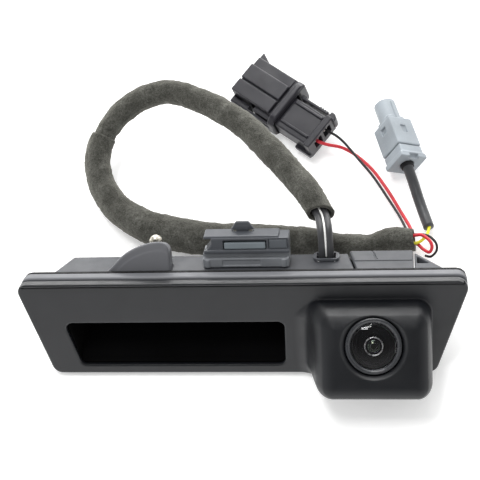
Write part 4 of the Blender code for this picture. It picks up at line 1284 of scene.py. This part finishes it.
# piece and CAD node stem, suffix of the node, radius, step, points in the row frame
WIRES = [
    ("red", "wire", 0.62, 0.8, wire_start(WAY_Y) + [
        (27.2, 75.6, 6.6), (32.1, 75.6, 4.6), (37.7, 72.6, 3.0), (43.3, 66.7, 2.4),
        (48.8, 57.6, 2.2), (53.1, 48.2, 3.4), (56.2, 40.8, 5.2), (57.0, 37.6, 6.0),
    ]),
    ("black", "wire", 0.48, 0.8, wire_start(-WAY_Y) + [
        (30.2, 78.6, 7.8), (33.4, 75.9, 6.4), (37.8, 70.3, 5.2), (43.3, 63.0, 4.2),
        (48.8, 53.4, 3.6), (52.3, 46.5, 4.2), (54.4, 41.2, 5.0), (55.6, 37.8, 5.8),
    ]),
    ("red", "slack", 0.58, 0.5, [
        (54.6, 35.0, 8.0), (58.0, 35.2, 8.5), (60.4, 34.6, 9.5), (62.9, 32.1, 10.0),
        (63.7, 30.0, 9.0), (62.7, 28.9, 7.5), (60.6, 30.8, 6.5), (58.5, 33.2, 6.0),
        (55.0, 33.4, 5.6),
    ]),
    ("black", "slack", 0.45, 0.5, [
        (54.8, 36.0, 7.0), (58.6, 36.3, 7.3), (62.4, 35.3, 8.0), (65.0, 32.5, 8.0),
        (65.3, 30.0, 6.8), (63.4, 28.4, 5.4), (61.4, 29.2, 4.6),
    ]),
    ("yellow", "wire", 0.56, 0.5, [
        (54.8, 33.8, 7.0), (57.7, 32.9, 7.0), (59.8, 33.6, 7.0), (61.5, 35.9, 6.0),
        (62.5, 38.4, 5.0), (63.1, 41.2, 4.6),
    ]),
]
for _colour, _kind, _radius, _step, _points in WIRES:
    _node = f"{_colour}_{_kind}" + ("_loop" if _kind == "slack" else "")
    cable(
        f"{_colour}_{_kind}_insulation", _points, _radius, f"{_colour}_insulation",
        replaces=(_node,), sides=14, step=_step,
    )


def coax_point(along):
    """A point on the coaxial connector's level axis."""
    turn = math.radians(COAX_TURN)
    return tuple(Vector(COAX_AT) + Vector((math.cos(turn), math.sin(turn), 0)) * along)


cable(
    "coax_cable_jacket",
    [coax_point(along) for along in (2.6, -1.0, -4.5)]
    + [(57.9, 58.2, 5.9), (59.5, 52.8, 4.4), (61.1, 47.4, 3.8), (62.9, 41.0, 4.2)],
    1.92, "cable_jacket", replaces=("coax_jacket",), sides=28,
)
cable(
    "coax_boot_ring", [coax_point(along) for along in (-3.6, -2.7, -1.9)], 2.35,
    "black_rubber", sides=28, step=0.4,
)


# ------------------------------------------------------------------ two-way connector
def plug_body(point):
    x, y, _ = point
    solid = box(point, (-16.2, -6.0, -4.4), (11.6, 7.0, 3.2), 0.5)
    solid = add_boxes(
        solid, point,
        ((-16.5, -6.7, -5.0), (-13.9, 7.7, 3.8), 0.4, 0.3),  # rim at the wire end
        ((-5.2, -6.9, -1.2), (-3.8, -5.5, 1.2), 0.2, 0.2),  # nub under the latch
    )
    ear = box(point, (-17.4, -8.9, -2.6), (-14.2, -6.0, 2.6), 0.3)
    ear = meet(ear, 0.72 * -(y + 7.7) + 0.69 * -(x + 15.8) - 0.9, 0.4)
    solid = join(solid, ear, 0.4)
    solid = add_boxes(
        solid, point,
        ((-16.4, 6.9, -4.6), (-9.0, 8.6, -2.4), 0.35, 0.3),  # rail on the +y side
        ((-13.5, -4.9, 3.0), (-0.6, -3.9, 3.7), 0.3, 0.25),  # two ribs on top
        ((-13.5, 3.9, 3.0), (-0.6, 4.9, 3.7), 0.3, 0.25),
    )
    for way in (-WAY_Y, WAY_Y):
        solid = cut_boxes(
            solid, point,
            ((-20, way - 1.2, -1.2), (15, way + 1.2, 1.2), 0.2, 0.2),
            ((-20, way - 1.9, -2.3), (-14.6, way + 1.9, 2.0), 0.3, 0.2),
        )
    return solid


shape(
    "plug_body_moulding", plug_body, (-17.7, -9.2, -5.3), (11.9, 8.9, 4.2), 0.28,
    "connector_plastic", PLUG, keep=0.35, replaces=("plug_body",),
)
for _number, _way in ((1, -WAY_Y), (2, WAY_Y)):
    cable(
        f"wire_seal_{_number}", [(x, _way, 0.1) for x in (-15.4, -14.6, -13.8)], 1.02,
        "undyed_plastic", step=0.4, frame=PLUG,
    )


def receptacle_shroud(point):
    x, y, z = point
    solid = box(point, (0.3, -11.4, -5.7), (23.0, 5.4, 4.5), 0.6)
    solid = add_boxes(
        solid, point,
        ((2.0, 3.5, -5.7), (22.6, 8.3, 1.4), 0.5, 0.25),  # step on the +y side
        ((4.6, -0.2, 3.5), (23.2, 5.2, 5.3), 0.3, 0.15),  # two pads on top
        ((4.6, -7.4, 3.5), (23.2, -0.9, 5.3), 0.3, 0.15),
        ((3.0, 7.9, -2.4), (22.2, 8.7, -0.2), 0.25, 0.2),  # rail along the step
    )
    solid = cut_boxes(
        solid, point,
        ((5.0, 5.35, -6.0), (22.0, 5.9, 9.0), 0.15, 0.15),  # groove along the step
        ((3.3, -20, 4.1), (4.5, 5.5, 9.0), 0.15, 0.15),  # groove behind the collar
    )
    collar = box(point, (0.5, -11.8, -6.2), (3.2, 8.6, 5.6), 0.7)
    chamfer = 0.62 * (np.abs(y + 1.9) - 10.4) + 0.78 * (np.abs(z + 0.3) - 5.9) + 1.6
    solid = join(solid, meet(collar, chamfer, 0.5), 0.3)
    wing = box(point, (16.6, -14.2, -1.8), (23.6, -10.6, 2.6), 0.35)
    wing = meet(wing, -0.447 * (x - 23.1) - 0.894 * (y + 14.0), 0.3)
    solid = join(solid, wing, 0.4)
    solid = cut_boxes(
        solid, point,
        ((-5, -7.35, -4.75), (14.0, 7.35, 3.55), 0.3, 0.2),  # room for the plug
        ((15.9, -6.8, -4.2), (30, 4.6, 3.0), 0.5, 0.3),  # hollow at the far end
    )
    for way in (-WAY_Y, WAY_Y):
        low, high = (10, way - 0.62, -0.62), (15.3, way + 0.62, 0.62)
        solid = cut_boxes(solid, point, (low, high, 0.1, 0.1))
    return solid


shape(
    "receptacle_shroud_moulding", receptacle_shroud, (0, -14.6, -6.5), (23.9, 9.0, 5.9), 0.3,
    "connector_plastic", PLUG, "receptacle", keep=0.38, replaces=("receptacle_shroud",),
)


def plug_latch(point):
    """A lever with a hooked end and four grip ribs."""
    local = (point[0] + 4.5, point[1] + 8.9, point[2])
    solid = box(local, (-8.6, 0.65, -2.0), (4.0, 1.75, 2.0), 0.3)
    solid = add_boxes(solid, local, ((2.2, -0.1, -2.0), (4.0, 1.2, 2.0), 0.3, 0.25))
    for k in range(4):
        low, high = (-8.3 + k * 1.1, 0.3, -1.7), (-7.8 + k * 1.1, 0.9, 1.7)
        solid = add_boxes(solid, local, (low, high, 0.15, 0.1))
    return solid


shape(
    "plug_latch_lever", plug_latch, (-13.4, -9.4, -2.3), (-0.3, -6.9, 2.3), 0.2,
    "connector_plastic", PLUG, "plug_latch", replaces=("plug_latch",),
)


# ------------------------------------------------------------------ coaxial connector
def coax_housing(point):
    x, y, z = point
    solid = box(point, (5.0, -5.15, -5.15), (17.4, 5.15, 5.15), 0.55)
    radius = np.hypot(y, z)
    nose = meet(radius - 4.0, np.maximum(x - 27.4, 14.0 - x), 0.45)
    solid = join(solid, nose, 0.5)
    solid = add_boxes(
        solid, point,
        ((16.0, -0.8, 3.3), (25.9, 0.8, 4.7), 0.3, 0.25),  # keys along the nose
        ((16.0, -4.7, -0.7), (24.0, -3.3, 0.7), 0.3, 0.25),
        ((16.0, -3.6, -3.6), (19.6, 3.6, 3.6), 0.5, 0.3),  # foot of the nose
    )
    solid = cut(solid, np.maximum(radius - 3.0, 15.4 - x), 0.3)
    solid = cut(solid, np.maximum(radius - 2.4, x - 16.0), 0.1)
    return cut_boxes(
        solid, point,
        ((12.6, 4.3, -1.3), (15.2, 8.0, 1.3), 0.2, 0.2),
        ((10.4, -1.2, 4.55), (13.8, 1.2, 8.0), 0.3, 0.2),
    )


def coax_lock(point):
    """A clip with a flared end, bored through."""
    _, y, z = point
    solid = box(point, (0.6, -5.0, -5.0), (4.7, 5.0, 5.0), 0.5)
    solid = add_boxes(solid, point, ((-0.8, -5.7, -5.2), (1.2, 5.7, 5.2), 0.35, 0.6))
    solid = cut(solid, np.hypot(y, z) - 2.5, 0.3)
    return cut_boxes(solid, point, ((-3, -2.0, 3.9), (0.6, 2.0, 8), 0.3, 0.2))


shape(
    "coax_housing_moulding", coax_housing, (4.8, -5.4, -5.4), (27.7, 5.4, 5.4), 0.25,
    "coax_plastic", COAX_BODY, "coax_shell", keep=0.38, replaces=("coax_housing",),
)
shape(
    "coax_lock_clip", coax_lock, (-1.1, -6.0, -5.4), (5.0, 6.0, 5.4), 0.25,
    "coax_plastic", COAX_BODY, "coax_lock", replaces=("coax_lock",),
)

# ------------------------------------------------------------------ stage (metres from here)
FLOOR_HALF, FLOOR_GAP = 3.0, 0.0001


def plain_mesh(name, bm):
    mesh = bpy.data.meshes.new(name)
    bm.to_mesh(mesh)
    bm.free()
    return mesh


def build_floor():
    low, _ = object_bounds()
    bm = bmesh.new()
    bmesh.ops.create_grid(bm, x_segments=1, y_segments=1, size=FLOOR_HALF)
    floor = new_object("floor", plain_mesh("floor", bm))
    floor.location = (0, 0, min(low.z, cad_low.z) - FLOOR_GAP)
    paper = Shader("floor_paper")
    tones = [(0.3, (0.88, 0.88, 0.875)), (0.7, (0.90, 0.90, 0.895))]
    paper.surface(
        Base_Color=paper.ramp(paper.noise(scale=6, detail=3), tones),
        Roughness=0.9,
        Specular_IOR_Level=0.1,
        Emission_Color=(1.0, 1.0, 1.0),
        Emission_Strength=0.30,
    )
    floor.data.materials.append(paper.material)


def build_world():
    """Even white light, but reflections see a sky that darkens upwards."""
    world = bpy.data.worlds.new("studio")
    SCENE.world = world
    world.use_nodes = True
    world.node_tree.nodes.clear()
    nodes = Nodes(world.node_tree)
    even = nodes.node("ShaderNodeBackground", {"Color": (1, 1, 1), "Strength": 0.68})
    coords = nodes.node("ShaderNodeTexCoord").outputs["Generated"]
    height = nodes.node("ShaderNodeSeparateXYZ", {0: coords}).outputs["Z"]
    sky = nodes.ramp(height, [
        (0.0, (0.98, 0.98, 0.99)),
        *((at, (grey, grey, grey * 1.01)) for at, grey in ((0.25, 0.88), (0.60, 0.36), (0.85, 0.10))),
        (1.0, (0.09, 0.092, 0.096)),
    ])
    mirrored = nodes.node("ShaderNodeBackground", {"Color": sky})
    glossy = nodes.node("ShaderNodeLightPath").outputs["Is Glossy Ray"]
    inputs = {"Fac": glossy, 1: even.outputs[0], 2: mirrored.outputs[0]}
    mixed = nodes.node("ShaderNodeMixShader", inputs)
    nodes.node("ShaderNodeOutputWorld", {"Surface": mixed.outputs[0]})


# name, place, aim, width, height, watts, seen in reflections
LIGHTS = [
    ("key_overhead", (-0.14, 0.05, 0.85), (0, 0.03, 0), 0.26, 0.16, 2.6, False),
    ("box_back", (-0.08, 0.50, 0.75), (0, 0.02, 0), 0.50, 0.25, 2.8, True),
    ("fill_left", (-0.65, -0.2, 0.45), (0, 0.02, 0), 0.4, 0.5, 0.8, False),
    ("rim_back", (0.10, 0.75, 0.42), (0, 0.05, 0), 0.7, 0.25, 2.0, True),
    ("low_back", (-0.05, 0.85, 0.17), (0, 0.0, 0.02), 1.2, 0.16, 4.4, True),
]


def area_light(name, at, aim, width, height, power, glossy):
    light = bpy.data.lights.new(name, "AREA")
    light.shape = "RECTANGLE"
    light.size, light.size_y = width, height
    light.energy = power
    lamp = bpy.data.objects.new(name, light)
    lamp.location = at
    lamp.rotation_mode = "QUATERNION"
    lamp.rotation_quaternion = (Vector(aim) - Vector(at)).to_track_quat("-Z", "Y")
    SCENE.collection.objects.link(lamp)
    lamp.visible_glossy = glossy


RING_X, RING_Y, RING_Z = -0.142, 0.044, 0.852
RING_HALF_X, RING_HALF_Y, RING_HALF_WIDTH = 0.13, 0.08, 0.006
RING_SQUARENESS = 0.6  # 1 would be an ellipse
RING_STEPS = 64
RING_STRENGTH = 9.0


def build_ring_light():
    """A lit ring overhead, seen only in reflections."""
    glow = Shader("ring_tube")
    glow.tree.nodes.clear()
    emission = glow.node("ShaderNodeEmission", {"Strength": RING_STRENGTH})
    glow.node("ShaderNodeOutputMaterial", {"Surface": emission.outputs[0]})
    bm = bmesh.new()
    rings = []
    for grow in (-RING_HALF_WIDTH, RING_HALF_WIDTH):
        ring = []
        for k in range(RING_STEPS):
            angle = 2 * math.pi * k / RING_STEPS
            c, s = math.cos(angle), math.sin(angle)
            x = math.copysign(abs(c) ** RING_SQUARENESS, c) * (RING_HALF_X + grow)
            y = math.copysign(abs(s) ** RING_SQUARENESS, s) * (RING_HALF_Y + grow)
            ring.append(bm.verts.new((RING_X + x, RING_Y + y, RING_Z)))
        rings.append(ring)
    inner, outer = rings
    for k in range(RING_STEPS):
        j = (k + 1) % RING_STEPS
        bm.faces.new((inner[k], outer[k], outer[j], inner[j]))
    mesh = plain_mesh("ring_light", bm)
    ring_light = new_object("ring_light", mesh)
    mesh.materials.append(glow.material)
    ring_light.visible_diffuse = False
    ring_light.visible_camera = False
    ring_light.visible_shadow = False


CAMERA_AT = (0.05393, -0.19901, 0.40021)
# the camera's right, up and backward directions
CAMERA_AXES = (
    (0.99209, 0.05137, -0.11453),
    (0.01436, 0.85997, 0.51014),
    (0.12470, -0.50775, 0.85243),
)


def build_camera():
    data = bpy.data.cameras.new("camera")
    data.lens = 97.5
    data.sensor_width = 36
    data.clip_start, data.clip_end = 0.01, 10
    camera = new_object("camera", data)
    turn = Matrix(CAMERA_AXES).transposed().to_4x4()
    camera.matrix_world = Matrix.Translation(CAMERA_AT) @ turn
    SCENE.camera = camera


build_floor()
build_world()
for _row in LIGHTS:
    area_light(*_row)
build_ring_light()
build_camera()
